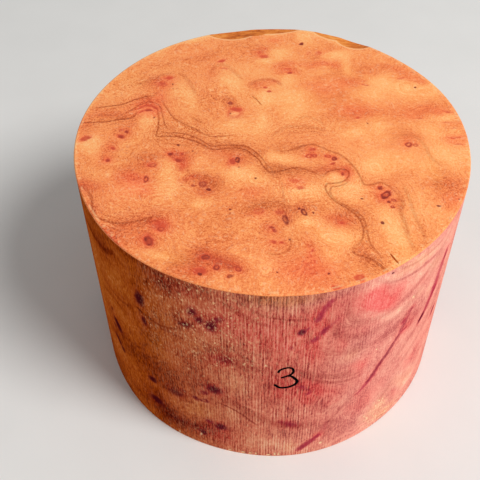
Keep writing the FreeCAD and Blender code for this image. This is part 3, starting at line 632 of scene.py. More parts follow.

# Colours of the painted sheen on the fibres of the top, the painted highlight beside the wane, the
# hairs of the wall with their painted highlight, its torn fibres, its chips and the ink
PAINTED_FIBRE_SHEEN = (255, 216, 172)
# Painted highlight on the wood just beside the wane
WANE_LIP_HIGHLIGHT = (252, 196, 140)
# Pale sawn hairs, partly their own colour and partly painted highlight
LEFT_HAIR_AND_SHEEN = (232, 144, 102)
RIGHT_HAIR_AND_SHEEN = (248, 166, 142)
LEFT_TORN = (255, 182, 132)
RIGHT_TORN = (255, 230, 178)
CHIP_COLOUR = (255, 218, 172)
INK = (10, 7, 10)

# Studio: lengths in metres. AMBIENT is the strength of the soft light all round, and BACKDROP that
# of the same light where the camera sees it past the floor.
FLOOR_HALF = 4.0
FLOOR_COLOUR = (226, 225, 222)
AMBIENT = 0.35
BACKDROP = 0.86
LAMP_PLACE = (0.95, -0.58, 1.40)
LAMP_AIM = (0, 0, 0.08)
LAMP_SIZE = 0.7
LAMP_WATTS = 26.0

# Camera, as the photograph was taken: place in metres from the middle of the base, angles in
# degrees, lens and sensor in millimetres, and the metres from which it sees
CAMERA_PLACE = (0.0, -0.24173, 0.32102)
CAMERA_DOWN = 48.03
CAMERA_YAW = -2.981
CAMERA_ROLL = -0.963
CAMERA_LENS = 61.8
SENSOR = 36.0
CLIP_START = 0.01


# Small helpers


def rng(extra):
    """A random source of its own for each use, the same on every run."""
    return np.random.default_rng(SEED * 1000 + extra)


def smooth_noise(x, y, cell, extra, wrap=0.0):
    """A smooth random field from -1 to 1, with hills about a cell across. It repeats in x after wrap."""
    size = NOISE_CELLS
    table = rng(extra).uniform(-1, 1, (size, size))
    around = max(2, round(wrap / cell)) if wrap else size
    u = x / (wrap / around if wrap else cell)
    v = y / cell
    iu, iv = np.floor(u).astype(int), np.floor(v).astype(int)
    fu, fv = u - iu, v - iv
    fu, fv = fu * fu * (3 - 2 * fu), fv * fv * (3 - 2 * fv)
    a, b = iu % around % size, (iu + 1) % around % size
    c, d = iv % size, (iv + 1) % size
    low = table[a, c] * (1 - fu) + table[b, c] * fu
    high = table[a, d] * (1 - fu) + table[b, d] * fu
    return low * (1 - fv) + high * fv


def step_between(value, start, end):
    """0 before start, 1 after end, and smooth between them."""
    t = np.clip((value - start) / (end - start), 0, 1)
    return t * t * (3 - 2 * t)


def curve_through(points, step):
    """Points about a step apart on a smooth curve through the given ones."""
    p = np.array(points, float)
    p = np.vstack([2 * p[0] - p[1], p, 2 * p[-1] - p[-2]])
    found = []
    for a, b, c, d in zip(p[:-3], p[1:-2], p[2:-1], p[3:]):
        count = max(2, int(np.ceil(np.linalg.norm(c - b) / step)))
        t = (np.arange(count) / count)[:, None]
        square, cube = 2 * a - 5 * b + 4 * c - d, 3 * b - a - 3 * c + d
        found.append(0.5 * (2 * b + (c - a) * t + square * t**2 + cube * t**3))
    found.append(p[-2:-1])
    return np.vstack(found)


def distance_to(points, line):
    """Distance of each point to a line, and how far along the nearest place is, from 0 to 1."""
    best, along = np.full(len(points), OUT_OF_REACH), np.zeros(len(points))
    near = np.all((points > line.min(0) - LINE_REACH) & (points < line.max(0) + LINE_REACH), axis=1)
    p = points[near]
    b, s = np.full(len(p), OUT_OF_REACH), np.zeros(len(p))
    for i in range(len(line) - 1):
        edge = line[i + 1] - line[i]
        t = np.clip(((p - line[i]) @ edge) / (edge @ edge), 0, 1)
        d = np.hypot(*(p - line[i] - t[:, None] * edge).T)
        closer = d < b
        b[closer], s[closer] = d[closer], (i + t[closer]) / (len(line) - 1)
    best[near], along[near] = b, s
    return best, along


def turned(points, x, y, half_x, half_y, turn):
    """Coordinates in a turned ellipse's own frame, where its edge is at distance 1."""
    c, s = math.cos(math.radians(turn)), math.sin(math.radians(turn))
    dx, dy = points[:, 0] - x, points[:, 1] - y
    return (c * dx + s * dy) / half_x, (-s * dx + c * dy) / half_y


def polar(points):
    """Distance of each point from the axis, and its azimuth in degrees."""
    x, y = points[:, 0], points[:, 1]
    return np.hypot(x, y), np.degrees(np.arctan2(y, x))


# Shape, read from the frame


class Wood:
    """The outline, height and top surface of the frame's node, in millimetres."""

    def __init__(self, node):
        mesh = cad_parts[node].data
        co = np.array([v.co for v in mesh.vertices], float) / MM
        self.height = co[:, 2].max()
        wall = co[(co[:, 2] > ARRIS * 0.9) & (co[:, 2] < self.height - ARRIS * 0.9)]
        reach = np.hypot(wall[:, 0], wall[:, 1])
        outer = reach > co[:, 0].max() - WALL_BAND
        turn = np.arctan2(wall[outer, 1], wall[outer, 0])
        self.terms = np.linalg.lstsq(self.waves(turn), reach[outer], rcond=None)[0]
        self.radius = self.terms[0]
        self.around = 2 * math.pi * self.radius
        self.tree = BVHTree.FromPolygons([tuple(c) for c in co], [tuple(p.vertices) for p in mesh.polygons])

    @staticmethod
    def waves(turn):
        """The height of every wave at each turn in radians. The outline is a sum of them."""
        rows = [np.ones_like(turn)]
        for k in range(1, HARMONICS + 1):
            rows += [np.cos(k * turn), np.sin(k * turn)]
        return np.stack(rows, 1)

    def rim(self, azimuth):
        """Radius of the wall at each azimuth in degrees."""
        return self.waves(np.radians(azimuth)) @ self.terms - INSIDE

    def arc(self, azimuth):
        """Distance round the wall, in millimetres."""
        return azimuth * self.around / 360

    def top_at(self, x, y):
        """Height of the frame's upper surface over one point, or the sawn top where there is none."""
        hit = self.tree.ray_cast(Vector((x, y, self.height + RAY_START)), Vector((0, 0, -1)), RAY_LENGTH)
        return hit[0].z if hit[0] is not None else self.height


# Mesh


def hex_points(x0, x1, y0, y1, step):
    """A lattice of evenly spaced points that fills a box."""
    rows = np.arange(y0, y1, step * math.sqrt(0.75))
    found = []
    for i, y in enumerate(rows):
        xs = np.arange(x0 + (i % 2) * step / 2, x1, step)
        found.append(np.stack([xs, np.full_like(xs, y)], 1))
    return np.vstack(found)


def ribbon_points(line, offsets):
    """Rows of points beside a line, at the given distances either way."""
    tangent = np.gradient(line, axis=0)
    tangent /= np.linalg.norm(tangent, axis=1)[:, None]
    normal = np.stack([-tangent[:, 1], tangent[:, 0]], 1)
    return np.vstack([line + normal * o for o in offsets])


def spread(groups):
    """Each group's points in turn, where one is kept if it has the group's gap to all kept before it."""
    cell = max(gap for _, gap in groups)
    cells, kept = {}, []
    for points, gap in groups:
        for x, y in points.tolist():
            a, b = int(x // cell), int(y // cell)
            close = [q for da in (-1, 0, 1) for db in (-1, 0, 1) for q in cells.get((a + da, b + db), ())]
            if all((q[0] - x) ** 2 + (q[1] - y) ** 2 >= gap * gap for q in close):
                cells.setdefault((a, b), []).append((x, y))
                kept.append((x, y))
    return np.array(kept)


def triangulate(edge, inside):
    """Points and triangles of a sheet with this edge and these points inside. The edge comes first."""
    points = np.vstack([edge, inside])
    made = delaunay_2d_cdt([Vector(p) for p in points], [], [list(range(len(edge)))], 1, 1e-6, True)
    origin = np.array([ids[0] for ids in made[3]])
    if len(origin) != len(points):
        raise ValueError("two points of a sheet fell together")
    triangles = origin[np.array([list(t) for t in made[2]])]
    a, b, c = (points[triangles[:, i]] for i in range(3))
    flip = (b[:, 0] - a[:, 0]) * (c[:, 1] - a[:, 1]) - (b[:, 1] - a[:, 1]) * (c[:, 0] - a[:, 0]) < 0
    triangles[flip] = triangles[flip][:, ::-1]
    return points, triangles


def near_eyes(points, eyes, reach):
    """Which points lie within reach of the edge of an eye."""
    found = np.zeros(len(points), bool)
    for x, y, half_x, half_y, turn, *_ in eyes:
        u, v = turned(points, x, y, half_x + reach, half_y + reach, turn)
        found |= u * u + v * v < 1
    return found


# Fields: what the wood looks like at each point


def hills(points, layers, extra, wrap=0.0):
    """Layers of smooth noise added up."""
    x, y = points[:, 0], points[:, 1]
    return sum(height * smooth_noise(x, y, cell, extra + seed, wrap) for height, cell, seed in layers)


def pushed(points, layers, extra, wrap=0.0):
    """The points pushed about a little, so that what is drawn there has no plain outline."""
    return points + np.stack([hills(points, layers, extra + k, wrap) for k in (0, 1)], 1)


def patch_fields(points, patches):
    """Tone and blush that the soft patches add up to."""
    tone, blush = np.zeros(len(points)), np.zeros(len(points))
    for x, y, half_x, half_y, turn, t, b in patches:
        u, v = turned(points, x, y, half_x, half_y, turn)
        weight = np.exp(-0.8 * (u * u + v * v))
        tone += t * weight
        blush += b * weight
    return tone, blush


def eye_fields(points, eyes, soft=0.0):
    """How dark and rose the eyes are, the rose glow round them, and the painted sheen at their lower side."""
    dark, rose, glow, pale = (np.zeros(len(points)) for _ in range(4))
    for x, y, half_x, half_y, turn, d, r, ring in eyes:
        u, v = turned(points, x, y, half_x, half_y, turn)
        q = np.hypot(u, v)
        left = 1 - EYE_OPENNESS * ring * (1 - step_between(q, *EYE_OPENING))
        core = EYE_CORE + EYE_CORE_HOLLOW * ring - soft
        dark = np.maximum(dark, d * left * (1 - step_between(q, core, EYE_DARK_END + soft)))
        rose = np.maximum(rose, r * left * (1 - step_between(q, core, EYE_ROSE_END + soft)))
        glow = np.maximum(glow, r * np.exp(-np.maximum(q - 1, 0) * min(half_x, half_y) / GLOW_REACH))
        # The pale part below each eye is a painted sheen of the figure
        below = np.hypot(u, v + SHEEN_BELOW * np.sign(math.cos(math.radians(turn))))
        pale = np.maximum(pale, r * np.exp(-(below**2)) * step_between(q, *SHEEN_BETWEEN))
    return dark, rose, glow, pale


def line_fields(points, lines):
    """Half widths to the nearest growth line, its darkness and soft shade, and millimetres to it."""
    edge, far = np.full(len(points), FAR), np.full(len(points), LINE_REACH)
    dark, shade = np.zeros(len(points)), np.zeros(len(points))
    for half, darkness, line in lines:
        d, along = distance_to(points, line)
        faded = darkness * np.minimum(1, LINE_FADE * np.minimum(along, 1 - along) + LINE_END)
        nearer = d / half < edge
        edge[nearer], dark[nearer] = d[nearer] / half, faded[nearer]
        shade = np.maximum(shade, faded * np.exp(-((d / LINE_SHADE) ** 2)))
        far = np.minimum(far, d)
    return edge, dark, shade, far


def contour_field(points, tone, line_far, glow, extra, wrap=0.0):
    """A field whose level lines run as growth rings do: round patches and eyes, and along the lines."""
    wide, narrow = (
        height * smooth_noise(points[:, 0], points[:, 1], cell, extra + k, wrap)
        for k, (height, cell) in enumerate((RING_WIDE, RING_NARROW))
    )
    return RING_TONE * tone + wide - RING_GLOW * glow + RING_LINE * line_far + narrow


def wood_fields(points, patches, eyes, lines, extra, wrap=0.0, soft=0.0):
    """The fields that every surface has. Their noise takes extra and the numbers after it as seeds."""
    bent = pushed(points, BEND, extra, wrap)
    tone, blush = patch_fields(bent, patches)
    dark, rose, glow, pale = eye_fields(pushed(points, RUFFLE, extra + 10, wrap), eyes, soft)
    edge, line_dark, shade, line_far = line_fields(points, lines)
    growth = contour_field(bent, tone, line_far, glow, extra + 4, wrap)
    # The last term lightens the tone with the painted sheen below the eyes
    tone = tone + hills(bent, MOTTLE, extra, wrap) - SHADE_TONE * shade + SHEEN_TONE * pale
    return {
        "tone": np.where(tone < 0, np.exp(np.minimum(tone, 0)) - 1, PALEST * np.tanh(tone / PALEST)),
        "blush": blush + GLOW_BLUSH * glow + hills(bent, BLUSH_DRIFT, extra, wrap),
        "eye_dark": dark,
        "eye_rose": rose,
        "line_edge": edge,
        "line_dark": line_dark,
        "near": np.exp(-((line_far / NEAR_REACH) ** 2)),
        "growth": growth,
    }


def random_marks(extra, count, x_range, y_range, radius=None):
    """Patches and eyes for the sides that no photograph shows, drawn from a fixed seed."""
    draw = rng(extra)

    def between(name):
        return draw.uniform(*UNSEEN[name])

    patches, eyes = [], []
    for _ in range(count):
        x, y = draw.uniform(*x_range), draw.uniform(*y_range)
        if radius and math.hypot(x, y) > radius:
            continue
        size = between("size")
        tone = draw.choice(UNSEEN_TONES)
        blush = between("red" if tone < 0 else "gold")
        patches.append((x, y, size * between("stretch"), size, between("turn"), tone, blush))
        if tone < 0:
            for _ in range(draw.integers(1, 4)):
                place = (x + between("shift"), y - size * 0.4 + between("shift"))
                shape = (between("eye length"), between("eye width"), between("turn"))
                eyes.append((*place, *shape, between("dark"), between("rose"), draw.integers(0, 2)))
    return patches, eyes


# The sheets of the mesh


def within(wood, points, margin):
    """Those of the points that are more than a margin inside the edge of the flat face."""
    away, azimuth = polar(points)
    return points[away < wood.rim(azimuth) - ARRIS - margin]


def round_lattice(wood, step, margin):
    """A lattice over the flat face, up to a margin from its edge."""
    reach = wood.radius + 2
    return within(wood, hex_points(-reach, reach, -reach, reach, step), margin)


def ring_points(wood, azimuths, inset):
    """A point of the outline at each azimuth, moved in by the inset."""
    turn = np.radians(azimuths)
    radius = wood.rim(azimuths) - inset
    return np.stack([radius * np.cos(turn), radius * np.sin(turn)], 1)


def check_points():
    """Close rows of points along the drying check, that gather towards its two ends."""
    line = np.array(CHECK)
    middle, along = line.mean(0), (line[1] - line[0]) / 2
    across = np.array([-along[1], along[0]]) / np.linalg.norm(along)
    t = np.linspace(-CHECK_REACH, CHECK_REACH, CHECK_POINTS)[:, None]
    narrow = np.maximum(CHECK_TIP, 1 - t * t)
    return np.vstack([middle + t * along + offset * narrow * across for offset in CHECK_ROWS])


def top_sheet(wood, azimuths, lines):
    """The sanded face: close points at the eyes, lines, wane and check, and wider ones between."""
    ribbons = np.vstack([ribbon_points(line[-1], TOP_LINE_ROWS) for line in lines])
    fine = round_lattice(wood, TOP_FINE_STEP, TOP_FINE_EDGE_GAP)
    away, azimuth = polar(fine)
    wane = (away > WANE_INSIDE) & (azimuth > WANE_FROM) & (azimuth < WANE_TO)
    fine = fine[wane | near_eyes(fine, TOP_EYES, TOP_EYE_MARGIN)]
    inside = spread([
        (check_points(), GAPS["check"]),
        (ribbons, GAPS["top line"]),
        (fine, GAPS["top eye"]),
        (round_lattice(wood, TOP_STEP, TOP_FILL_EDGE_GAP), TOP_STEP * FILL_GAP),
    ])
    return triangulate(ring_points(wood, azimuths, ARRIS), within(wood, inside, TOP_EDGE_GAP))


def base_sheet(wood, azimuths):
    """The lower face, with evenly spaced points."""
    return triangulate(ring_points(wood, azimuths, ARRIS), round_lattice(wood, BASE_STEP, BASE_EDGE_GAP))


def wall_columns(wood):
    """Azimuths of the wall's columns, once round from the seam, closer where the saw lines stand out."""
    found = [SEAM - 360]
    while found[-1] < SEAM:
        sawn = SAW_FROM < found[-1] < SAW_TO
        found.append(found[-1] + math.degrees((SAW_COLUMN if sawn else PLAIN_COLUMN) / wood.radius))
    return np.array(found[:-2])


def wall_sheet(wood, azimuths, lines, eyes):
    """The wall, unrolled. Its two short edges are the same seam, and are joined again afterwards."""
    low, high = ARRIS, wood.height - ARRIS
    start = wood.arc(azimuths[0])
    columns = wood.arc(azimuths)
    rows = np.linspace(low, high, int((high - low) / WALL_ROW) + 1)
    across, up = len(columns), len(rows) - 1
    edge = [(s, low) for s in columns] + [(start + wood.around, z) for z in rows]
    edge += [(s, high) for s in columns[::-1]] + [(start, z) for z in rows[-2:0:-1]]
    ribbons = [ribbon_points(line[-1], WALL_LINE_ROWS) for line in lines]
    pen = [ribbon_points(line, PEN_ROWS) for line in pen_lines(wood)]
    small = hex_points(wood.arc(CHIPS_FROM), wood.arc(CHIPS_TO), low, high, CHIP_STEP)
    fine = hex_points(start, start + wood.around, low, high, WALL_FINE_STEP)
    sawn = wood.arc(azimuths[(azimuths > SAW_FROM) & (azimuths < SAW_TO)])
    inside = spread([
        (np.vstack(pen), GAPS["pen"]),
        (small[near_eyes(small, chip_marks(wood), CHIP_MARGIN)], GAPS["chip"]),
        (np.vstack(ribbons), GAPS["wall line"]),
        (fine[near_eyes(fine, eyes, WALL_EYE_MARGIN)], GAPS["wall eye"]),
        (np.stack(np.meshgrid(sawn, rows), -1).reshape(-1, 2), GAPS["saw"]),
        (hex_points(start, start + wood.around, low, high, WALL_STEP), WALL_STEP * FILL_GAP),
    ])
    kept = (inside[:, 0] > start + SEAM_GAP) & (inside[:, 0] < start + wood.around - SEAM_GAP)
    kept &= (inside[:, 1] > low + WALL_EDGE_GAP) & (inside[:, 1] < high - WALL_EDGE_GAP)
    points, triangles = triangulate(np.array(edge), inside[kept])
    top_left = 2 * across + up
    same = np.arange(len(points))
    same[across:across + up + 1] = [0, *range(top_left + up - 1, top_left, -1), top_left]
    return points, same[triangles], np.arange(across), np.arange(top_left, across + up, -1)


def on_wall(wood, marks):
    """Marks listed by azimuth, with the distance round the wall in its place."""
    return [(wood.arc(mark[0]), *mark[1:]) for mark in marks]


def drawn(lines, step):
    """Lines with smooth curves through the points that they list last."""
    return [(*line[:-1], curve_through(line[-1], step)) for line in lines]


def drawn_on_wall(wood, lines):
    """The same for the lines that list azimuths and heights."""
    return drawn([(*line[:-1], on_wall(wood, line[-1])) for line in lines], WALL_LINE_STEP)


def pen_lines(wood):
    """The middle of each stroke of the numeral, on the unrolled wall."""
    return [curve_through(on_wall(wood, stroke), PEN_STEP) for stroke in NUMERAL_STROKES]


def chip_marks(wood):
    """The chips, listed as eyes whose dark part is the chip."""
    return [(*place, 0, 1, 0, 0) for place in on_wall(wood, CHIPS)]


def both_ends(wood, marks):
    """The marks, with a copy of each that is near the seam on the seam's other side."""
    middle = wood.arc(SEAM - 180)
    near = [mark for mark in marks if abs(mark[0] - middle) > wood.around / 2 - SEAM_MARGIN]
    return marks + [(m[0] - math.copysign(wood.around, m[0] - middle), *m[1:]) for m in near]


# The blank


def top_fields(wood, points, lines, height):
    """The fields of the top, whose points are at these heights, and how deep each is sunk."""
    fields = wood_fields(points, TOP_PATCHES, TOP_EYES, lines, TOP_SEED)
    reach, azimuth = polar(points)
    beyond = np.array([wood.height - wood.top_at(x, y) for x, y in points * (1 + LIP / reach)[:, None]])
    skin = patch_fields(points, [(*place, 1, 0) for place in WANE_SKIN])[0]
    dip = step_between(wood.height - height, *WANE_DEPTHS)
    fields["wane"] = np.maximum(dip, step_between(skin, 0.4, 0.6))
    # A painted highlight on the wood just beside the wane
    fields["lip"] = step_between(beyond, 0.0, 0.05) * (1 - fields["wane"])
    # A painted highlight along the arris, as strong as RIM_GLINT gives at each azimuth
    glint = 1 - step_between(wood.rim(azimuth) - reach, ARRIS, ARRIS + GLINT_WIDTH)
    fields["arris"] = glint * (1 - fields["wane"]) * np.interp(azimuth, *zip(*RIM_GLINT), period=360)
    fields["coarse"] = GRAIN + patch_fields(points, [(*place, 0) for place in COARSE])[0]
    fields["sunk"] = TOP_EYE_DEPTH * fields["eye_dark"] + TOP_ROSE_DEPTH * fields["eye_rose"]
    return fields


def wall_fields(wood, points, patches, eyes, lines, streaks):
    """The fields of the wall, at points of the unrolled sheet, and how deep each is sunk."""
    x, z = points[:, 0], points[:, 1]
    azimuth = x * 360 / wood.around
    fields = wood_fields(points, patches, eyes, lines, WALL_SEED, wood.around, WALL_SOFT)
    fray = STREAK_FRAY[0] * smooth_noise(x, z, STREAK_FRAY[1], FRAY_SEED, wood.around)
    for half, dark, rose, line in streaks:
        d, along = distance_to(points, line)
        width = half * (STREAK_END + (1 - STREAK_END) * np.sin(math.pi * np.clip(along, 0.05, 0.95)))
        body = 1 - step_between(d / width + fray, *STREAK_BETWEEN)
        fields["eye_dark"] = np.maximum(fields["eye_dark"], dark * body)
        fields["eye_rose"] = np.maximum(fields["eye_rose"], rose * body)
        fields["blush"] += STREAK_BLUSH * rose * np.exp(-((d / STREAK_REACH) ** 2))
    for name, stops in ZONES.items():
        fields[name] = np.interp(azimuth, *zip(*stops))
    fields["torn"] *= 0.4 + 0.6 * step_between(z, *TORN_ABOVE)
    flecked = [(*patch, 0) for patch in on_wall(wood, FLECKED)]
    fields["torn"] = np.minimum(1, fields["torn"] + patch_fields(points, flecked)[0])
    fields["arc"] = x
    strokes = zip(pen_lines(wood), PEN_HALF_WIDTHS)
    fields["ink"] = np.min([distance_to(points, line)[0] - half for line, half in strokes], axis=0)
    fields["chip"] = eye_fields(points, chip_marks(wood))[0]
    speck = 0.6 * smooth_noise(x, z, SAW_RIDGE, RIDGE_SEED, wood.around)
    ridge = smooth_noise(x, z / SAW_STRETCH, SAW_RIDGE, RIDGE_SEED + 1, wood.around) + 0.5 * speck
    fields["sunk"] = SAW_DEPTH * fields["saw"] * np.clip(0.5 + 0.5 * ridge, 0, 1)
    fields["sunk"] += WALL_EYE_DEPTH * fields["eye_dark"] + CHIP_DEPTH * fields["chip"]
    return fields


def wall_marks(wood):
    """Patches and eyes of the whole wall: those of the tables, then those of the sides out of sight."""
    patches, eyes = list(WALL_PATCHES), list(WALL_EYES)
    for unseen in UNSEEN_WALL:
        more_patches, more_eyes = random_marks(*unseen)
        patches += more_patches
        eyes += more_eyes
    return both_ends(wood, on_wall(wood, patches)), both_ends(wood, on_wall(wood, eyes))


def rolled_up(wood, wall, sunk, azimuths, dip):
    """The unrolled wall's points in place, drawn down below the rim's dips at those azimuths."""
    turn = wall[:, 0] * 2 * math.pi / wood.around
    radius = wood.rim(np.degrees(turn)) - sunk
    drop = np.interp(np.degrees(turn), azimuths, np.maximum(dip + DIP_SLACK - ARRIS, 0), period=360)
    z = wall[:, 1] - drop * step_between(wall[:, 1], wood.height - DIP_FADE, wood.height - ARRIS)
    return np.stack([radius * np.cos(turn), radius * np.sin(turn), z], 1)


def blank_mesh(wood):
    """Points, the triangles of each of the three finishes, the fields, and the rings that are creases."""
    azimuths = wall_columns(wood)
    ring = len(azimuths)
    top_lines = drawn(TOP_LINES, TOP_LINE_STEP)
    wall_lines, streaks = (drawn_on_wall(wood, lines) for lines in (WALL_LINES, WALL_STREAKS))
    patches, eyes = wall_marks(wood)

    top, top_triangles = top_sheet(wood, azimuths, top_lines)
    base, base_triangles = base_sheet(wood, azimuths)
    wall, wall_triangles, lower, upper = wall_sheet(wood, azimuths, wall_lines + streaks, eyes)

    edge = ring_points(wood, azimuths, ARRIS + DIP_INSET)
    dip = np.array([wood.height - wood.top_at(x, y) for x, y in edge])
    height = np.array([wood.top_at(x, y) for x, y in top])
    height[:ring] = wood.height - dip
    face = top_fields(wood, top, top_lines, height)
    side = wall_fields(wood, wall, patches, eyes, wall_lines, streaks)
    under = wood_fields(base, *random_marks(*UNSEEN_BASE), [], BASE_SEED)

    shift = ARRIS_ROUND * ARRIS
    eased = ring_points(wood, azimuths, shift)
    rounds = {
        "wall": rolled_up(wood, wall, side.pop("sunk"), azimuths, dip),
        "top": np.column_stack([top, height - face.pop("sunk")]),
        "top_arris": np.column_stack([eased, wood.height - np.maximum(shift, dip)]),
        "base_arris": np.column_stack([eased, np.full(ring, shift)]),
        "base": np.column_stack([base, np.zeros(len(base))]),
    }
    first = dict(zip(rounds, np.cumsum([0] + [len(v) for v in rounds.values()])))
    face_ring, under_ring = ({name: v[:ring] for name, v in part.items()} for part in (face, under))
    fields = [side, face, face_ring, under_ring, under]

    each = np.arange(ring)
    rim = [first["wall"] + upper, first["top_arris"] + each, first["top"] + each]
    foot = [first["base"] + each, first["base_arris"] + each, first["wall"] + lower]
    finishes = [
        np.vstack([top_triangles + first["top"], band(*rim[:2]), band(*rim[1:])]),
        wall_triangles + first["wall"],
        np.vstack([base_triangles[:, ::-1] + first["base"], band(*foot[:2]), band(*foot[1:])]),
    ]
    return np.vstack(list(rounds.values())), finishes, fields, [rim[0], rim[2], foot[0], foot[2]]


def band(low, high):
    """Triangles between two rings of as many points each."""
    low_next, high_next = np.roll(low, -1), np.roll(high, -1)
    return np.vstack([np.stack([low, low_next, high_next], 1), np.stack([low, high_next, high], 1)])


def build_blank(wood, materials):
    points, finishes, fields, creases = blank_mesh(wood)
    faces = np.vstack(finishes)
    used, faces = np.unique(faces, return_inverse=True)
    faces = faces.reshape(-1, 3)
    mesh = bpy.data.meshes.new("burl_blank")
    mesh.from_pydata((points[used] * MM).tolist(), [], faces.tolist())
    for material in materials:
        mesh.materials.append(material)
    finish = np.repeat(range(len(finishes)), [len(f) for f in finishes])
    mesh.polygons.foreach_set("material_index", finish.astype(np.int32))
    counts = [len(next(iter(part.values()))) for part in fields]
    for name in sorted({name for part in fields for name in part}):
        values = [part.get(name, np.full(count, REST.get(name, 0.0))) for part, count in zip(fields, counts)]
        layer = mesh.attributes.new(name, "FLOAT", "POINT")
        layer.data.foreach_set("value", np.concatenate(values)[used].astype(np.float32))
    mark_creases(mesh, [np.searchsorted(used, ring) for ring in creases])
    piece = bpy.data.objects.new("burl_blank", mesh)
    bpy.context.scene.collection.objects.link(piece)
    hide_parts(NODE)
    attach(piece, "root")
    return piece


def mark_creases(mesh, rings):
    """Smooth shading everywhere but along the eased edges, where the faces meet in a crisp line."""
    mesh.shade_smooth()
    edges = np.zeros(len(mesh.edges) * 2, np.int32)
    mesh.edges.foreach_get("vertices", edges)
    edges = edges.reshape(-1, 2)
    sharp = np.zeros(len(edges), bool)
    for ring in rings:
        member = np.zeros(len(mesh.vertices), bool)
        member[ring] = True
        sharp |= member[edges].all(1)
    layer = mesh.attributes.new("sharp_edge", "BOOLEAN", "EDGE")
    layer.data.foreach_set("value", sharp)


# Materials


def shown(red, green, blue):
    """A colour as a screen shows it, 0 to 255, in the linear values that a shader takes."""
    parts = [c / 255 for c in (red, green, blue)]
    return (*(c / 12.92 if c <= 0.04045 else ((c + 0.055) / 1.055) ** 2.4 for c in parts), 1.0)


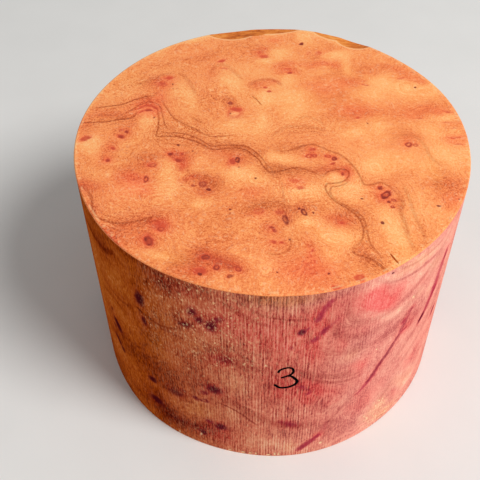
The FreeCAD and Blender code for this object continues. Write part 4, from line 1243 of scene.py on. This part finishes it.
class Nodes:
    """A material's node tree, with one short call for each kind of node that is used here.

    Sizes in the calls are millimetres. The other numbers in them are strengths, and the ends of ranges.
    """

    def __init__(self, name, roughness, specular):
        self.material = bpy.data.materials.new(name)
        self.material.use_nodes = True
        self.tree = self.material.node_tree
        self.shader = self.tree.nodes["Principled BSDF"]
        self.shader.inputs["Roughness"].default_value = roughness
        self.shader.inputs["Specular IOR Level"].default_value = specular
        self.place = self.node("ShaderNodeTexCoord", {}).outputs["Object"]

    def node(self, kind, inputs, **settings):
        made = self.tree.nodes.new(kind)
        for key, value in settings.items():
            setattr(made, key, value)
        for key, value in inputs.items():
            if isinstance(value, bpy.types.NodeSocket):
                self.tree.links.new(value, made.inputs[key])
            else:
                made.inputs[key].default_value = value
        return made

    def field(self, name):
        return self.node("ShaderNodeAttribute", {}, attribute_name=name).outputs["Fac"]

    def math(self, operation, a, b=0.0, clamp=False):
        return self.node("ShaderNodeMath", {0: a, 1: b}, operation=operation, use_clamp=clamp).outputs[0]

    def add(self, first, *others):
        for other in others:
            first = self.math("ADD", first, other)
        return first

    def times(self, first, *others):
        for other in others:
            first = self.math("MULTIPLY", first, other)
        return first

    def between(self, value, low, high, new_low=0.0, new_high=1.0):
        """The value's way from low to high, smooth and held at its two ends."""
        inputs = {"Value": value, "From Min": low, "From Max": high, "To Min": new_low, "To Max": new_high}
        return self.node("ShaderNodeMapRange", inputs, interpolation_type="SMOOTHSTEP").outputs["Result"]

    def scaled(self, size, stretch=(1, 1, 1)):
        """The place on the wood, counted in steps of a size in millimetres that may be stretched."""
        scale = tuple(1 / (size * MM * s) for s in stretch)
        return self.node("ShaderNodeVectorMath", {0: self.place, 1: scale}, operation="MULTIPLY").outputs[0]

    def noise_about_0(self, inputs, dimensions="3D"):
        made = self.node("ShaderNodeTexNoise", inputs, noise_dimensions=dimensions)
        return self.math("SUBTRACT", made.outputs[0], 0.5)

    def noise(self, size, detail=2.0, stretch=(1, 1, 1), rough=0.5):
        """Noise about 0 whose grains are size across, in millimetres, and longer where stretched."""
        inputs = {"Vector": self.scaled(size, stretch), "Scale": 1.0, "Detail": detail, "Roughness": rough}
        return self.noise_about_0(inputs)

    def rings(self, field, repeats):
        """Stripes along the level lines of a field."""
        return self.noise_about_0({"W": field, "Scale": repeats, "Detail": 1.0}, "1D")

    def fibres(self, field, repeats, length):
        """Short streaks, a length long, along the level lines of a field."""
        place, level = self.scaled(length), self.times(field, repeats)
        return self.noise_about_0({"Vector": place, "W": level, "Scale": 1.0, "Detail": 2.0}, "4D")

    def dots(self, gap, least, most, stretch):
        """Round dots scattered about a gap apart, whose radius is from least to most of that gap."""
        made = self.node("ShaderNodeTexVoronoi", {"Vector": self.scaled(gap, stretch), "Scale": 1.0})
        radius = self.between(made.outputs["Color"], 0.2, 0.9, least, most)
        return self.between(self.math("SUBTRACT", made.outputs["Distance"], radius), 0.12, -0.08)

    def ramp(self, value, colours):
        made = self.node("ShaderNodeValToRGB", {0: value})
        stops = made.color_ramp.elements
        while len(stops) < len(colours):
            stops.new(0.5)
        for i, colour in enumerate(colours):
            stops[i].position = i / (len(colours) - 1)
            stops[i].color = shown(*colour)
        return made.outputs[0]

    def mix(self, factor, a, b, blend="MIX"):
        """A mix of two colours, each from another node or as a screen shows it."""
        a, b = (shown(*colour) if isinstance(colour, tuple) else colour for colour in (a, b))
        made = self.node("ShaderNodeMix", {0: factor, 6: a, 7: b}, data_type="RGBA", blend_type=blend)
        return made.outputs[2]

    def tinted(self, tone, blush, colours):
        """Wood from dark to pale by its tone, redder or more golden by its blush."""
        place = self.math("MULTIPLY_ADD", tone, 0.5)
        place.node.inputs[2].default_value = 0.5
        plain, red, gold = (self.ramp(place, colours[name]) for name in ("plain", "red", "gold"))
        colour = self.mix(self.math("MULTIPLY", blush, 1.0, True), plain, red)
        return self.mix(self.math("MULTIPLY", blush, -1.0, True), colour, gold)

    def marked(self, colour, rose, dark, shade):
        """The eyes and growth lines drawn over the wood."""
        rough = self.noise(0.8, rough=0.8)
        rosy = self.between(self.add(self.field("eye_rose"), self.times(rough, 0.7)), 0.05, 0.95)
        colour = self.mix(self.times(rosy, 0.85), colour, rose)
        deep = self.between(self.add(self.field("eye_dark"), self.times(rough, 0.4)), 0.05, 0.75)
        colour = self.mix(self.times(deep, 0.93), colour, dark)
        worn = self.add(self.field("line_edge"), self.times(self.noise(1.1, 3.0, rough=0.8), 1.5))
        line = self.times(self.between(worn, 1.5, 0.4), self.field("line_dark"))
        return self.mix(line, colour, shade, "MULTIPLY")

    def finish(self, colour, relief, depth):
        bump = self.node("ShaderNodeBump", {"Height": relief, "Distance": depth * MM})
        self.tree.links.new(colour, self.shader.inputs["Base Color"])
        self.tree.links.new(bump.outputs[0], self.shader.inputs["Normal"])
        return self.material


def face_material():
    """The sanded face: figured burl with fine pores and amber wane.

    A painted highlight runs along the arris and beside the wane, and painted sheen along the fibres.
    """
    n = Nodes("burl_face", 0.6, 0.12)
    tone, blush, growth, arris = (n.field(name) for name in ("tone", "blush", "growth", "arris"))
    pores = n.noise(0.5, 1.0, rough=0.7)
    brown = n.add(n.between(tone, 0.5, -0.4, 0.75, 0.8), n.times(n.field("near"), n.field("line_dark"), 0.4))
    stripes = n.times(n.rings(growth, 6.0), 0.8)
    stipple = n.times(n.noise(0.75, 1.0), 1.5)
    fibres = n.times(n.fibres(growth, 24.0, 2.4), 1.5)
    figure = n.times(n.add(stripes, stipple, fibres, n.times(pores, 1.9)), brown, n.field("coarse"))
    # The arris field adds a painted highlight to the tone
    tone = n.add(tone, figure, n.times(arris, 0.6))
    # Painted sheen: short bright streaks along the fibres, mixed over the wood's colour
    light = n.times(n.between(n.fibres(growth, 20.0, 1.4), 0.02, 0.2), 0.26)
    colour = n.mix(light, n.tinted(tone, blush, FACE_COLOURS), PAINTED_FIBRE_SHEEN)
    colour = n.marked(colour, *FACE_MARKS)
    flow = n.add(n.times(n.noise(3.4, 3.0, (1, 0.5, 1), 0.6), 1.6), n.times(fibres, 0.3))
    amber = n.ramp(n.add(n.times(n.field("tone"), 0.5), flow, 0.5), WANE_COLOURS)
    ragged = n.add(n.field("wane"), n.times(n.noise(1.0, 2.0), 0.9))
    colour = n.mix(n.between(ragged, 0.35, 0.7), colour, amber)
    # Painted highlight along the lip of the wane
    colour = n.mix(n.times(n.field("lip"), 0.6), colour, WANE_LIP_HIGHLIGHT)
    return n.finish(colour, n.add(n.times(pores, 0.6), n.noise(0.25)), 0.03)


def wall_material():
    """The sawn wall: saw lines down it, torn fibres, crimson stain and the pen's numeral."""
    n = Nodes("burl_wall", 0.85, 0.0)
    tone, saw, side, torn = (n.field(name) for name in ("tone", "saw", "side", "torn"))
    blush = n.add(n.field("blush"), n.times(saw, 0.22))
    fibre = n.noise(0.6, 2.0, (1, 1, 26), 0.7)
    wide = n.noise(1.4, 1.0, (1, 1, 60))
    upright = n.times(n.noise(0.7, 2.0, (1, 1, 3), 0.7), n.between(side, 0.5, 1.0, 1.5, 0.7))
    grain = n.add(upright, n.times(n.noise(0.6, 2.0), side, 0.8))
    rings = n.times(n.rings(n.field("growth"), 6.0), n.add(n.times(side, 0.15), 0.5))
    wander = n.times(n.noise(9.0, 1.0, (1, 1, 6)), 14.0)
    turns = n.add(n.times(n.field("arc"), 2 * math.pi / SAW_PITCH), wander)
    shows = n.between(n.noise(5.0, 2.0, (1, 1, 3)), -0.15, 0.1)
    tooth = n.times(n.between(n.math("SINE", turns), 0.0, 1.0), shows)
    sawn = n.times(n.add(n.times(fibre, 2.2), n.times(tooth, 0.8), n.times(wide, 0.45)), saw)
    tone = n.add(tone, sawn, n.times(grain, 1.5), rings, n.times(n.noise(3.0, 3.0, (1, 1, 2), 0.6), 0.65))
    # The left colours carry painted shade as well as the wood's own colour
    left, right = (n.tinted(tone, blush, colours) for colours in (LEFT_COLOURS_WITH_SHADE, RIGHT_COLOURS))
    marks = [n.mix(side, *pair) for pair in zip(LEFT_MARKS_WITH_SHADE, RIGHT_MARKS)]
    # Pale sawn hairs, partly their own colour and partly painted highlight
    hair_and_sheen = n.between(n.noise(0.5, 2.0, (1, 1, 12), 0.7), 0.0, 0.18)
    hairs_and_sheen = n.times(hair_and_sheen, n.add(n.times(saw, 0.55), 0.08))
    ticks = n.times(n.between(n.noise(0.6, 1.0, (1, 1, 3)), 0.03, 0.18), torn, 0.4)
    colour = n.mix(hairs_and_sheen, n.mix(side, left, right), n.mix(side, LEFT_HAIR_AND_SHEEN, RIGHT_HAIR_AND_SHEEN))
    fleck = n.mix(side, LEFT_TORN, RIGHT_TORN)
    colour = n.mix(ticks, n.marked(colour, *marks), fleck)
    rows = n.between(n.add(n.noise(3.5, 2.0, (1, 1, 0.6)), n.times(torn, 0.14)), 0.0, 0.2)
    tufts = n.times(n.dots(1.2, -0.1, 0.34, (1, 1, 1.5)), rows, torn, 0.85)
    colour = n.mix(tufts, colour, fleck)
    colour = n.mix(n.field("chip"), colour, CHIP_COLOUR)
    pen = n.add(n.field("ink"), n.times(n.noise(0.5), 0.22))
    colour = n.mix(n.between(pen, 0.1, -0.08), colour, INK)
    relief = n.add(n.times(fibre, n.add(saw, 0.3)), n.times(grain, 0.4), n.times(tufts, 0.3))
    return n.finish(colour, relief, 0.16)


def under_material():
    """The lower sawn face, coarser than the sanded one."""
    n = Nodes("burl_under", 0.85, 0.04)
    fibre = n.noise(0.7, 2.0, (1, 24, 1))
    rings = n.times(n.rings(n.field("growth"), 3.0), 0.5)
    figure = n.add(rings, n.times(fibre, 0.5), n.times(n.noise(2.4), 0.35))
    tone = n.math("SUBTRACT", n.add(n.field("tone"), figure), 0.25)
    colour = n.marked(n.tinted(tone, n.field("blush"), FACE_COLOURS), *FACE_MARKS)
    return n.finish(colour, fibre, 0.1)


def floor_material():
    """A surface of one colour with a faint mottle."""
    n = Nodes("pale_floor", 0.9, 0.1)
    paler = tuple(c + 3 for c in FLOOR_COLOUR)
    colour = n.mix(n.between(n.noise(40.0), -0.3, 0.3), FLOOR_COLOUR, paler)
    return n.finish(colour, n.noise(3.0), 0.02)


# Stage


def lay_floor():
    mesh = bpy.data.meshes.new("floor")
    h = FLOOR_HALF
    mesh.from_pydata([(-h, -h, 0), (h, -h, 0), (h, h, 0), (-h, h, 0)], [], [(0, 1, 2, 3)])
    mesh.materials.append(floor_material())
    floor = bpy.data.objects.new("floor", mesh)
    bpy.context.scene.collection.objects.link(floor)


def hang_lamp():
    lamp = bpy.data.lights.new("key", "AREA")
    lamp.shape, lamp.size, lamp.energy = "DISK", LAMP_SIZE, LAMP_WATTS
    holder = bpy.data.objects.new("key", lamp)
    holder.location = LAMP_PLACE
    holder.rotation_euler = (Vector(LAMP_AIM) - Vector(LAMP_PLACE)).to_track_quat("-Z", "Y").to_euler()
    bpy.context.scene.collection.objects.link(holder)


def light_world():
    """A soft even light all round, and a pale backdrop where the camera looks past the floor."""
    world = bpy.data.worlds.new("studio")
    bpy.context.scene.world = world
    world.use_nodes = True
    nodes, links = world.node_tree.nodes, world.node_tree.links
    back = nodes["Background"]
    path, amount = nodes.new("ShaderNodeLightPath"), nodes.new("ShaderNodeMapRange")
    amount.inputs["To Min"].default_value = AMBIENT
    amount.inputs["To Max"].default_value = BACKDROP
    links.new(path.outputs["Is Camera Ray"], amount.inputs["Value"])
    links.new(amount.outputs["Result"], back.inputs["Strength"])
    back.inputs["Color"].default_value = (1, 1, 1, 1)


def set_camera():
    down, yaw, roll = (math.radians(a) for a in (CAMERA_DOWN, CAMERA_YAW, CAMERA_ROLL))
    ahead = Vector((math.sin(yaw) * math.cos(down), math.cos(yaw) * math.cos(down), -math.sin(down)))
    right = ahead.cross(Vector((0, 0, 1))).normalized()
    up = right.cross(ahead)
    c, s = math.cos(roll), math.sin(roll)
    right, up = c * right + s * up, c * up - s * right
    lens = bpy.data.cameras.new("camera")
    lens.lens, lens.sensor_width, lens.clip_start = CAMERA_LENS, SENSOR, CLIP_START
    camera = bpy.data.objects.new("camera", lens)
    camera.matrix_world = Matrix.Translation(CAMERA_PLACE) @ Matrix((right, up, -ahead)).transposed().to_4x4()
    bpy.context.scene.collection.objects.link(camera)
    bpy.context.scene.camera = camera


def main():
    bpy.context.scene.view_settings.view_transform = "Standard"
    build_blank(Wood(NODE), [face_material(), wall_material(), under_material()])
    lay_floor()
    hang_lamp()
    light_world()
    set_camera()


main()
